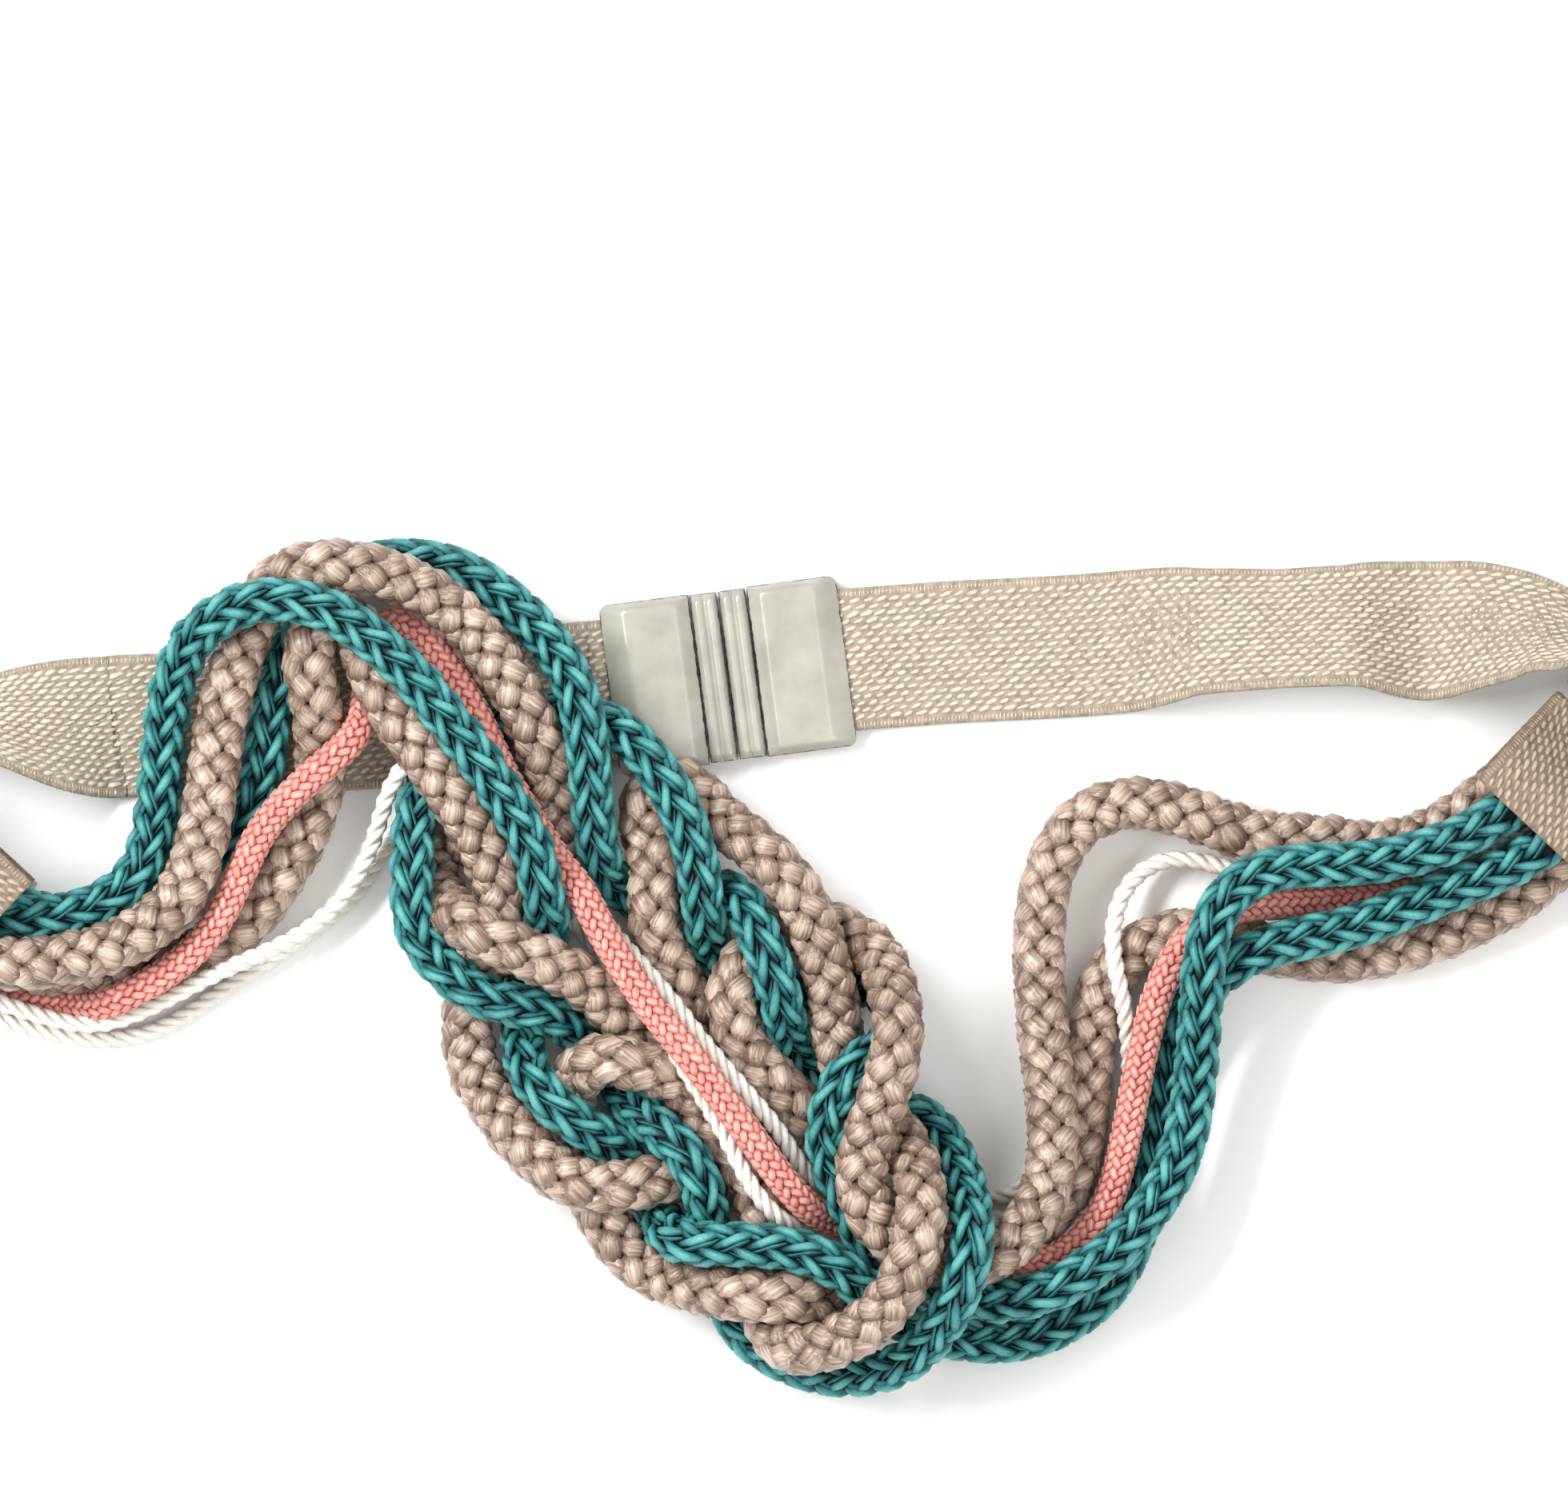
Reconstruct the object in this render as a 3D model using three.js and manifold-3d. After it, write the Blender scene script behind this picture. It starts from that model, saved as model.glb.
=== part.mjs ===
// Rope belt lying flat on a table: two elastic straps joined by a fastened clasp at the back,
// seven soft cords tied in a chain knot at the front, their ends sewn into folded tabs.
// Millimetres, +Z up, table at z = 0, origin under the middle of the clasp.
import * as THREE from 'three';
import Module from 'manifold-3d';
import { mergeVertices } from 'three/addons/utils/BufferGeometryUtils.js';

// Driving sizes.
const CLEARANCE = 0.3;
const TEAL_DIAMETER = 8.6;
const TAUPE_DIAMETER = 10;
const PINK_DIAMETER = 6;
const WHITE_DIAMETER = 3.3;
const STRAP_WIDTH = 25.4;
const STRAP_THICKNESS = 1.8;
const CLASP_ANGLE = 7.5;
const CLASP_DEPTH = 30.6;
const CLASP_HEIGHT = 6;
const PLATE_WIDTH = 16;
const BAR_WIDTH = 5;
const WEB_THICKNESS = 1.2;
const WEB_WIDTH = 3.4;
const SLOT_DEPTH = 4;
const STRAP_SEAT = 2.4;
const PLATE_EDGE_DROP = 1.8;
const PLATE_RIM_DROP = 0.9;
const OUTER_SLOPE = 7;
const OUTER_BEVEL = 3;
const INNER_SLOPE = 4;
const INNER_BEVEL = 1.4;
const EDGE_ROUND = 0.6;
const BAR_DROP = 0.4;
const BAR_ROUND = 0.8;
const BAR_GROOVE = 0.4;
const RIDGE_HALF = 0.7;
const TAB_LENGTH = 22;
const TAB_MOUTH = 22.4;
const TAB_GRIP = 5;

// Rest of the cord pile: spacing of its stations and height of one layer.
const STATION = 4;
const LAYER = 9;
const SETTLE_ROUNDS = 360;
const PARTING_ROUNDS = 260;
const FAIRING_ROUNDS = 8;
const SETTLE_MARGIN = 0.7;
const PINNED_LENGTH = 7;
const NEAR_REACH = 8;
const EARLY_PULL = { sink: 0.12, level: 0.3, homing: 0.12, smoothing: 0.08 };
const LATE_PULL = { sink: 0, level: 0.05, homing: 0.04, smoothing: 0.05 };
const FAIRING_PULL = { sink: 0, level: 0.12, homing: 0, smoothing: 0.12 };
const SIDE_PUSH = 0.4;
const CLEAR_ORDER = 3;
const SUPPORT_MARGIN = 0.7;

// Rings of a cord's tube: its sides, the mean spacing of its rings, and how they crowd at bends.
const CORD_SIDES = 8;
const RING_SPACING = 8.4;
const BEND_CROWDING = 5;

// Where the cords leave the tabs: middle of each mouth and the way its strap leads off, in degrees.
const LEFT_MOUTH = { x: -132, y: -46, heading: 137 };
const RIGHT_MOUTH = { x: 142.3, y: -27, heading: 47 };

// Places of cord ends across a tab mouth: along its edge, and height of the cord's middle.
const LEFT_ENDS = {
  teal_cord_1: [4, 15.3], teal_cord_2: [7, 6.6], taupe_cord_1: [-3, 7.4], taupe_cord_2: [-6, 17.4],
  pink_cord: [-12.5, 5.4], white_cord_1: [-11, 10.3], white_cord_2: [-15, 10],
};
const RIGHT_ENDS = {
  teal_cord_1: [-4.4, 16.4], teal_cord_2: [4.6, 16.3], taupe_cord_1: [8.5, 7.5], taupe_cord_2: [-8.1, 7.5],
  pink_cord: [0.3, 5.4], white_cord_1: [2, 10.2], white_cord_2: [-1.6, 10.2],
};

// Cord routes from the left tab to the right one: x, y, and the layer of the pile it runs in.
const ROUTES = {
  teal_cord_1: [
    [-123.5, -44, 1], [-111, -41.5, 1], [-105, -37.5, 1], [-102.5, -31.5, 0.8], [-101, -18.5, 0.6],
    [-100, -5.5, 0.6], [-95.5, 5.5, 1], [-90.5, 11, 2], [-84, 14, 2.4], [-77, 14.5, 2.5],
    [-70.5, 12.5, 2.5], [-65, 8.5, 2.5], [-55.5, -0.5, 2.3], [-47.5, -11, 2], [-40.5, -20.5, 2],
    [-34, -30, 2.2], [-33, -36, 1.9], [-34.2, -43, 1], [-36, -50, 0], [-37.5, -58, 0], [-37, -65, 0.8],
    [-32, -74, 1.2], [-24.5, -81.5, 1], [-18.5, -84.5, 0.6], [-14.2, -89.5, 0], [-12.7, -96, 0],
    [-8, -100, 1], [0, -101, 2], [12.5, -102, 2], [22, -106, 1.4], [32, -112.5, 1.1], [40.5, -117.5, 0.4],
    [47.5, -119.5, 0], [54.5, -118.5, 0], [62, -115, 0], [69.5, -108, 0], [74, -96, 0], [77, -79, 0],
    [79.5, -64.5, 0], [83, -56.5, 0], [89.5, -50.5, 0.2], [97, -47.5, 0.8], [111.5, -45, 1],
    [126, -39, 1.2], [137, -34.5, 1.3],
  ],
  teal_cord_2: [
    [-117, -44.5, 0], [-106, -42.5, 0], [-97.5, -37, 0], [-89.5, -29, 0], [-84, -22, 0.2], [-81.5, -12, 0],
    [-80.5, 0, 0], [-78, 7.5, 0], [-74.5, 15, 0], [-70, 18.2, 0], [-65, 20.3, 0.2], [-56.5, 21.3, 0.4],
    [-46.3, 18.8, 0.8], [-36.5, 11.3, 1], [-28.5, 2, 1.2], [-25.5, -9.5, 1.6], [-24.3, -21, 1.8],
    [-24, -29, 1.4], [-22.5, -37, 0.8], [-18.5, -41, 0], [-12.5, -42, 0], [-6.5, -39.5, 0],
    [-1, -38.7, 0.7], [4, -43, 1.2], [7.5, -50.5, 1.4], [9.8, -58, 1.6], [10, -64, 1.2], [13.5, -70, 0.3],
    [19, -75, 0], [26, -77.3, 0], [33, -77, 0.4], [38, -80, 0.8], [42, -89, 1], [43, -96.5, 1.6],
    [41.5, -108.5, 2.2], [35, -119.5, 1.2], [28, -124, 0.9], [20, -125.3, 0.6], [12.5, -123.7, 0.3],
    [6, -119.8, 0], [1.5, -114, 0], [-1.5, -107.5, 0], [-2, -101, 0.2], [-2.4, -94.5, 1],
    [-4.4, -87.5, 1.6], [-9.5, -81.5, 1.6], [-16.5, -75.4, 1], [-21, -72.5, 0.4], [-22.5, -68, 0],
    [-25.5, -63.5, 0.2], [-34, -59.5, 1.2], [-44.5, -57, 1], [-51.5, -51, 0.8], [-55.2, -40, 1.3],
    [-56, -28, 1.2], [-53.5, -18, 0], [-46, -10, 0], [-34, -6.5, 0], [-23.5, -7, 0.4], [-17, -11, 1.2],
    [-11.3, -18, 1.2], [-6.5, -27, 1.2], [-4.7, -36, 1.7], [-4.8, -43, 1.2], [-4.2, -49.5, 0.3],
    [-0.5, -55.5, 0], [6.5, -58.7, 0], [14.5, -57, 0], [22, -53.5, 0], [29, -54.5, 0], [31, -60, 0.2],
    [29, -65.5, 0.8], [24, -67.5, 1.4], [19.5, -72.5, 2], [17.2, -79.5, 1.8], [16.8, -87, 1.4],
    [19.5, -95, 1.4], [25, -103, 1.2], [33, -109, 1], [42, -111.3, 1], [50, -110.7, 1], [57, -109, 1],
    [64, -106, 1], [70.5, -101, 1], [75.5, -95, 1], [80, -88, 1], [82.5, -79, 1], [84, -61, 1.6],
    [85, -45, 1.8], [88, -38.5, 1.8], [93.5, -34.5, 1.6], [101, -33.5, 1.4], [115, -33.5, 1.2],
    [130, -29.5, 1.3],
  ],
  taupe_cord_1: [
    [-124, -53, 0], [-112, -54, 0], [-100, -52.5, 0], [-90, -48, 0.4], [-82.5, -40, 0.8], [-76.5, -30, 0.8],
    [-72.2, -20, 0.8], [-72.5, -9, 0.6], [-74.5, 0, 0.8], [-76.5, 7, 1], [-75, 13.5, 1.1], [-70.5, 16, 1.2],
    [-66.3, 12.5, 1.2], [-65, 6, 1.2], [-63.5, -1, 1.4], [-60.3, -6, 1.6], [-54.5, -13, 1.8],
    [-46, -26.5, 1.8], [-40.5, -35, 1.6], [-38.5, -42, 0.9], [-40.3, -49.5, 0.4], [-44, -55, 0],
    [-46.3, -61, 0.8], [-44, -72.5, 1], [-38, -82, 1.4], [-30.5, -88.5, 1.9], [-21.5, -91.3, 1.6],
    [-12, -90.5, 1], [-4, -92, 0], [4, -92.5, 0], [11.5, -91.5, 0], [16.8, -86.5, 0], [15.5, -80, 0.6],
    [12, -74.5, 1.4], [6.5, -68.5, 1], [1.5, -63.5, 0.9], [-0.8, -56, 1.1], [0.5, -49.5, 0.8],
    [5, -44.5, 0.2], [11, -42, 0], [17.5, -43.5, 0], [23, -48, 0.2], [27.5, -53, 1], [30.5, -62, 1.8],
    [28.5, -72, 2.2], [24.5, -83, 2.2], [22.5, -91, 1.8], [26, -99, 1.4], [33, -104.5, 1.1],
    [40.5, -106.5, 1.1], [47.5, -104.5, 1.2], [54, -97.5, 1.2], [58.5, -86, 1.1], [56, -63, 1],
    [55.3, -43, 1], [59.5, -28, 1], [66, -22.8, 1], [75, -22, 1], [85, -25.5, 0.8], [95, -30, 0.4],
    [106, -32.5, 0], [118, -31.8, 0], [129.5, -28, 0.2],
  ],
  taupe_cord_2: [
    [-129, -50.5, 1.8], [-117.5, -50.7, 1.8], [-105, -46.5, 1.8], [-96, -39, 1.4], [-92.5, -26, 0.8],
    [-91, -12, 0.6], [-88.5, 1, 0.6], [-84.5, 9, 1], [-79, 16.5, 1.6], [-72, 18.5, 1.8], [-64, 18, 1.8],
    [-57.5, 17.5, 1.6], [-48, 11.5, 1.8], [-41, 1.5, 1.8], [-35.3, -8.5, 1.6], [-31, -21, 1.2],
    [-29, -30, 0.4], [-30.5, -36.5, 0], [-36, -40, 0], [-41, -37, 0], [-43, -31, 0], [-46, -26, 0],
    [-50, -24.3, 0], [-54, -27.3, 0], [-54.5, -33, 0], [-51.5, -39, 0.1], [-47.5, -43.3, 1],
    [-42.5, -46, 2.2], [-34, -49.5, 2.4], [-24.5, -54.5, 1.8], [-18, -62, 0.8], [-15, -69, 0],
    [-9, -73.5, 0], [-2.5, -71, 0], [-1.5, -64, 0.2], [-5, -56.5, 0.8], [-11, -47.5, 1.2],
    [-14.3, -36, 1.2], [-16.3, -26, 1], [-15.2, -19.8, 0.2], [-10.5, -17, 0], [-5.5, -19.5, 0],
    [-2.3, -25.5, 1], [4, -31, 1.6], [11, -38, 1.6], [16.5, -48, 1.6], [19, -58, 1.4], [18, -65, 1.2],
    [20.5, -71, 1], [26, -77, 1], [32, -83, 1.6], [35, -92, 2], [35, -100, 2.3], [32, -107.5, 2.3],
    [25, -115.5, 2], [15, -119, 1.6], [7, -117.3, 0.8], [6.5, -109, 0], [6.3, -100, 0.4], [3.7, -91.5, 1.3],
    [-1.7, -83.5, 1.4], [-6.5, -76, 1.4], [-16, -68, 1.8], [-24.5, -66.5, 1.8], [-27.5, -71, 1.2],
    [-26.5, -80, 0], [-24, -89, 0], [-20, -97.3, 0.5], [-12.8, -105.2, 0.6], [-1.5, -110, 1],
    [12, -112.5, 1], [22, -112.5, 0.4], [30, -111.5, 0], [38, -109.5, 0], [46, -107, 0], [53.5, -102, 0],
    [59.5, -95, 0], [62.8, -87, 0], [64, -72, 0], [66, -56, 0], [73, -47.5, 0], [83, -45, 0],
    [93, -48, 0.2], [104, -50.5, 0.4], [118.5, -49.2, 0.4], [133, -43.8, 0.4], [143.5, -38, 0.4],
  ],
  pink_cord: [
    [-130, -57, 0.2], [-117.5, -58, 0.3], [-105.5, -56, 1], [-94, -49, 1.4], [-88.5, -39, 1.6],
    [-84, -28, 1.6], [-75, -18.5, 1.8], [-65, -9, 1.8], [-65, -1, 1.2], [-64.5, 7, 1], [-60.5, 12.5, 1],
    [-55.5, 10, 1.2], [-51, 3, 1.2], [-43, -9, 1.2], [-38.5, -18, 1.2], [-34.3, -27, 1.2],
    [-28.4, -36, 1.1], [-23.3, -45.5, 1.8], [-13, -60, 2], [-2, -73.5, 2], [7, -87, 2], [14, -95, 1.7],
    [22, -98.5, 0.4], [31, -99.5, 0], [40, -100.5, 0], [48.5, -103.5, 0.4], [56, -105.3, 1], [62, -102, 1],
    [67.5, -95, 1], [70.3, -86, 1], [73, -71, 1], [76, -58, 1], [81, -47, 1], [89, -41, 0.8],
    [98, -40, 0.6], [114, -39.5, 0.4], [127, -37, 0.3], [136, -32, 0.3],
  ],
  white_cord_1: [
    [-130.5, -58, 1.4], [-121, -61.3, 1.3], [-112, -62.2, 1], [-103, -59.3, 0.8], [-91, -52.3, 1],
    [-79, -48.2, 0.8], [-70.6, -42.5, 0.9], [-64.5, -34, 1.2], [-60.5, -23, 1.2], [-54, -11.5, 1.2],
    [-46, -9, 1], [-40.5, -15, 0.6], [-35.5, -23, 0.3], [-30.5, -30.5, 0.3], [-26, -36.5, 0.6],
    [-22.3, -41.3, 1.5], [-18.5, -46.5, 2], [-10, -57.5, 2], [-0.5, -69, 2], [9, -80, 2], [13.7, -89, 1.4],
    [18, -92.5, 0.5], [24, -91.5, 0], [33, -91.5, 0], [43, -92.5, 0], [50, -95.5, 0], [55.5, -89, 0],
    [56.8, -78, 0], [56, -63, 0], [55.5, -45, 0], [59.5, -30, 0], [66, -24.3, 0], [75, -23.5, 0],
    [85, -27.5, 0], [95, -34, 0.2], [106, -34.5, 0.5], [118, -33, 0.9], [130.5, -28.8, 1.1],
  ],
  white_cord_2: [
    [-131.5, -60.5, 0.6], [-121, -64, 0.2], [-112, -65.5, 0], [-103, -64.4, 0], [-96, -60.5, 0],
    [-90, -55.7, 0.3], [-83.5, -52, 0.6], [-75.5, -46.8, 0.6], [-66.5, -40, 0.6], [-61, -30, 0.6],
    [-55, -20, 0.6], [-46, -22, 0.6], [-37, -32, 0.3], [-33, -38, 0.2], [-29, -43, 0.3],
    [-23.5, -48.5, 0.8], [-17.8, -56, 1.2], [-13, -63.3, 1.8], [-7.5, -71, 2], [-0.5, -80.5, 2.2],
    [4.6, -91.5, 2.4], [9, -97, 1.6], [13.5, -97.8, 0.6], [20, -95.5, 0], [31, -95.7, 0], [42, -96, 0],
    [50.5, -97.5, 0], [60, -99.5, 0.2], [68, -93, 0.2], [71, -84, 0.2], [72, -71, 0.2], [70.5, -59, 0.6],
    [67.8, -47, 0.8], [71, -35.5, 0.8], [81, -31.3, 0.8], [92, -35.5, 0.8], [110, -35, 0.9], [129, -31, 1],
  ],
};

// Strap sections from the clasp to the tab: x, y, z of the middle, and bank, the tilt in degrees
// that raises the strap's right-hand edge.
const RIGHT_STRAP = [
  [17.7, 2.3, 2.4, 0], [23.5, 3, 2.2, 0], [30, 3.5, 1.2, 0], [41.5, 4.3, 1.1, 0], [56, 5, 1.1, 0],
  [70, 6, 1.3, 2], [84, 7.8, 6.8, 28], [98.5, 8.4, 7.9, 34], [111.5, 8.9, 7.5, 32], [124, 8, 3.3, 10],
  [134, 8.7, 6.5, 26], [144, 8.2, 9.9, 46], [150, 6.9, 11.6, 60], [156, 6, 12.6, 75], [160.7, 5.3, 12.8, 84],
  [164, 3.4, 12.8, 88], [165.3, -0.1, 12.8, 94], [163.8, -3.9, 12.6, 108], [160.8, -7, 12.3, 138],
  [158.6, -9.4, 12.2, 168],
];
const LEFT_STRAP = [
  [-17.7, -2.3, 2.4, 0], [-23.5, -2.9, 2.2, 0], [-30, -3.5, 1.2, 0], [-65, -7.6, 1.1, 0],
  [-104, -8.8, 1.1, 0],
  [-111, -9.2, 1.9, -4], [-120, -9, 6.7, -27], [-130, -8.4, 10.5, -51], [-141, -8.2, 12.3, -72],
  [-152, -8.4, 12.8, -86], [-158, -10.8, 12.8, -90], [-160.2, -16.3, 12.8, -94], [-157.4, -22.3, 12.6, -108],
  [-153.2, -26.3, 12.4, -140], [-150.3, -29, 12.3, -168],
];
const STRAP_STEPS = 44;

// Where the left strap lies flat under the cords: its lean in plan, its lowest y, the x where the
// flat run ends, and the height of its upper face.
const FLAT_RUN = { slope: 0.105, lowestY: -9, endX: -112 };
const STRAP_TOP = 2;

// Colours and finishes.
const TEAL = { color: 0x3e9694, roughness: 0.45, metalness: 0 };
const TAUPE = { color: 0xaa9182, roughness: 0.35, metalness: 0 };
const PINK = { color: 0xd7827d, roughness: 0.85, metalness: 0 };
const WHITE = { color: 0xf5eee4, roughness: 0.4, metalness: 0 };
const ELASTIC = { color: 0xcdc0af, roughness: 0.85, metalness: 0 };
const ENAMEL = { color: 0xc4c1bb, roughness: 0.3, metalness: 0.1 };

const wasm = await Module();
wasm.setup();

const radians = THREE.MathUtils.degToRad;

function named(name, geometry, finish) {
  const mesh = new THREE.Mesh(geometry, new THREE.MeshStandardMaterial(finish));
  mesh.name = name;
  return mesh;
}

function toSolid(geometry) {
  const bare = geometry.clone();
  bare.deleteAttribute('normal');
  bare.deleteAttribute('uv');
  const merged = mergeVertices(bare, 1e-4);
  const vertProperties = new Float32Array(merged.attributes.position.array);
  const triVerts = new Uint32Array(merged.index.array);
  return new wasm.Manifold(new wasm.Mesh({ numProp: 3, vertProperties, triVerts }));
}

function toGeometry(solid) {
  const mesh = solid.getMesh();
  const geometry = new THREE.BufferGeometry();
  geometry.setAttribute('position', new THREE.BufferAttribute(new Float32Array(mesh.vertProperties), 3));
  geometry.setIndex(new THREE.BufferAttribute(new Uint32Array(mesh.triVerts), 1));
  geometry.computeVertexNormals();
  return geometry;
}

function block(from, to) {
  const size = to.map((value, i) => value - from[i]);
  const box = new THREE.BoxGeometry(...size);
  return toSolid(box.translate(...from.map((value, i) => value + size[i] / 2)));
}

// A side outline, in x and z, carried across the depth of the piece.
function acrossDepth(outline, depth) {
  const shape = new THREE.Shape(outline.map(([x, z]) => new THREE.Vector2(x, z)));
  const geometry = new THREE.ExtrudeGeometry(shape, { depth, bevelEnabled: false });
  return geometry.rotateX(Math.PI / 2).translate(0, depth / 2, 0);
}

// Skin over rings of equal point count, closed by a fan at both ends.
function loft(rings) {
  const count = rings[0].length;
  const index = [];
  for (let ring = 0; ring + 1 < rings.length; ring++) {
    for (let k = 0; k < count; k++) {
      const a = ring * count + k;
      const b = ring * count + (k + 1) % count;
      index.push(a, b + count, b, a, a + count, b + count);
    }
  }
  const last = (rings.length - 1) * count;
  for (let k = 1; k + 1 < count; k++) {
    index.push(0, k, k + 1, last, last + k + 1, last + k);
  }
  const geometry = new THREE.BufferGeometry();
  geometry.setAttribute('position', new THREE.Float32BufferAttribute(rings.flat(2), 3));
  geometry.setIndex(index);
  geometry.computeVertexNormals();
  return geometry;
}

// A point of a tab mouth: across its edge, height, and how far inside the tab.
function mouthPoint(mouth, across, height, inside) {
  const lead = radians(mouth.heading);
  const side = mouth === LEFT_MOUTH ? -1 : 1;
  const x = mouth.x + inside * Math.cos(lead) - side * across * Math.sin(lead);
  const y = mouth.y + inside * Math.sin(lead) + side * across * Math.cos(lead);
  return [x, y, height];
}

// Height of what lies under a cord: the left strap, the clasp or the bare table.
function groundUnder(x, y, radius) {
  const turn = radians(-CLASP_ANGLE);
  const u = x * Math.cos(turn) - y * Math.sin(turn);
  const v = x * Math.sin(turn) + y * Math.cos(turn);
  const claspReach = PLATE_WIDTH + BAR_WIDTH + 2 * CLEARANCE + radius;
  const overClasp = Math.abs(u) < claspReach && Math.abs(v) < CLASP_DEPTH / 2 + radius;
  if (overClasp) return CLASP_HEIGHT + CLEARANCE;
  const [startX, startY] = LEFT_STRAP[0];
  const middle = Math.max(startY + (x - startX) * FLAT_RUN.slope, FLAT_RUN.lowestY);
  const reach = STRAP_WIDTH / 2 + SUPPORT_MARGIN * radius;
  const overStrap = x > FLAT_RUN.endX && x < 0 && Math.abs(y - middle) < reach;
  return overStrap ? STRAP_TOP + CLEARANCE : 0;
}

function routeStations(name, diameter) {
  const radius = diameter / 2;
  const layered = ROUTES[name].map(([x, y, layer]) => new THREE.Vector3(x, y, radius + layer * LAYER));
  const ends = [];
  for (const [mouth, places] of [[LEFT_MOUTH, LEFT_ENDS], [RIGHT_MOUTH, RIGHT_ENDS]]) {
    const [across, height] = places[name];
    const inner = new THREE.Vector3(...mouthPoint(mouth, across, height, TAB_GRIP));
    const outer = new THREE.Vector3(...mouthPoint(mouth, across, height, -1));
    ends.push([inner, outer]);
  }
  const points = [...ends[0], ...layered, ends[1][1], ends[1][0]];
  const curve = new THREE.CatmullRomCurve3(points, false, 'catmullrom', 0.5);
  curve.arcLengthDivisions = 40 * points.length;
  const steps = Math.round(curve.getLength() / STATION);
  return curve.getSpacedPoints(steps);
}

// Lets the cords sink onto what lies under them, then parts those that still press into each other.
function settlePile(cords) {
  const stations = [];
  for (const cord of cords) {
    const last = cord.points.length - 1;
    cord.points.forEach((point, i) => {
      const pinned = Math.min(i, last - i) * STATION < PINNED_LENGTH;
      stations.push({ cord, i, pinned, point, home: point.clone(), radius: cord.diameter / 2 });
    });
  }
  let pairs = [];
  for (let round = 0; round < SETTLE_ROUNDS + PARTING_ROUNDS; round++) {
    if (round % 20 === 0) pairs = nearPairs(stations);
    const parting = round >= SETTLE_ROUNDS;
    relax(stations, parting ? LATE_PULL : EARLY_PULL);
    partPressed(pairs, parting ? 1 : SIDE_PUSH);
  }
  for (let round = 0; round < FAIRING_ROUNDS; round++) relax(stations, FAIRING_PULL);
}

function nearPairs(stations) {
  const pairs = [];
  for (let a = 0; a < stations.length; a++) {
    for (let b = a + 1; b < stations.length; b++) {
      const one = stations[a];
      const two = stations[b];
      const need = one.radius + two.radius + SETTLE_MARGIN;
      if (one.cord === two.cord && (b - a) * STATION < 2.2 * need) continue;
      if (one.point.distanceTo(two.point) < need + NEAR_REACH) pairs.push([one, two, need]);
    }
  }
  return pairs;
}

// One round of a cord's own pull: down, level with its neighbours, and home in plan.
function relax(stations, { sink, level, homing, smoothing }) {
  stations.forEach(({ pinned, point, home, radius }, k) => {
    if (pinned) return;
    const before = stations[k - 1].point;
    const after = stations[k + 1].point;
    point.z -= sink;
    point.z += level * ((before.z + after.z) / 2 - point.z);
    point.x += homing * (home.x - point.x) + smoothing * ((before.x + after.x) / 2 - point.x);
    point.y += homing * (home.y - point.y) + smoothing * ((before.y + after.y) / 2 - point.y);
    point.z = Math.max(point.z, radius + groundUnder(point.x, point.y, radius));
  });
}

function partPressed(pairs, sidePush) {
  for (const [one, two, need] of pairs) {
    const gap = new THREE.Vector3().subVectors(one.point, two.point);
    if (gap.length() >= need) continue;
    const order = one.home.z - two.home.z;
    if (Math.abs(order) > CLEAR_ORDER) {
      const lift = Math.max(Math.abs(gap.z), 0.35 * need);
      gap.z = Math.sign(order) * lift;
    }
    const push = (need - Math.min(gap.length(), need * 0.98)) / 2;
    gap.normalize().multiplyScalar(push);
    shift(one, gap, sidePush, 1);
    shift(two, gap, sidePush, -1);
  }
}

function shift({ pinned, point, radius }, gap, sidePush, way) {
  if (pinned) return;
  point.x += way * sidePush * gap.x;
  point.y += way * sidePush * gap.y;
  point.z += way * gap.z;
  point.z = Math.max(point.z, radius + groundUnder(point.x, point.y, radius));
}

// A smooth path whose evenly spaced rings crowd together where the cord bends.
class CordPath extends THREE.CatmullRomCurve3 {
  constructor(points) {
    super(points, false, 'catmullrom', 0.5);
    this.reach = [0];
    for (let i = 1; i < points.length; i++) {
      this.reach.push(this.reach[i - 1] + 1 + BEND_CROWDING * (this.turn(i - 1) + this.turn(i)) / 2);
    }
  }

  turn(i) {
    if (i === 0 || i === this.points.length - 1) return 0;
    const into = new THREE.Vector3().subVectors(this.points[i], this.points[i - 1]);
    const onward = new THREE.Vector3().subVectors(this.points[i + 1], this.points[i]);
    return into.angleTo(onward);
  }

  getUtoTmapping(u) {
    const last = this.points.length - 1;
    const target = u * this.reach[last];
    let i = 1;
    while (i < last && this.reach[i] < target) i++;
    const part = (target - this.reach[i - 1]) / (this.reach[i] - this.reach[i - 1]);
    return (i - 1 + part) / last;
  }
}

function cordTube(cord) {
  const steps = Math.round((cord.points.length - 1) * STATION / RING_SPACING);
  const section = new THREE.Shape();
  for (let k = 0; k < CORD_SIDES; k++) {
    const angle = 2 * Math.PI * k / CORD_SIDES;
    const x = Math.cos(angle) * cord.diameter / 2;
    const y = Math.sin(angle) * cord.diameter / 2;
    if (k === 0) section.moveTo(x, y);
    else section.lineTo(x, y);
  }
  section.closePath();
  const options = { steps, extrudePath: new CordPath(cord.points), bevelEnabled: false };
  return toSolid(new THREE.ExtrudeGeometry(section, options));
}

// Soft cords give where they press: each is dented by those before it.
function dented(tubes) {
  return tubes.map((tube, k) => tubes.slice(0, k).reduce((rest, other) => rest.subtract(other), tube));
}

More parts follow.
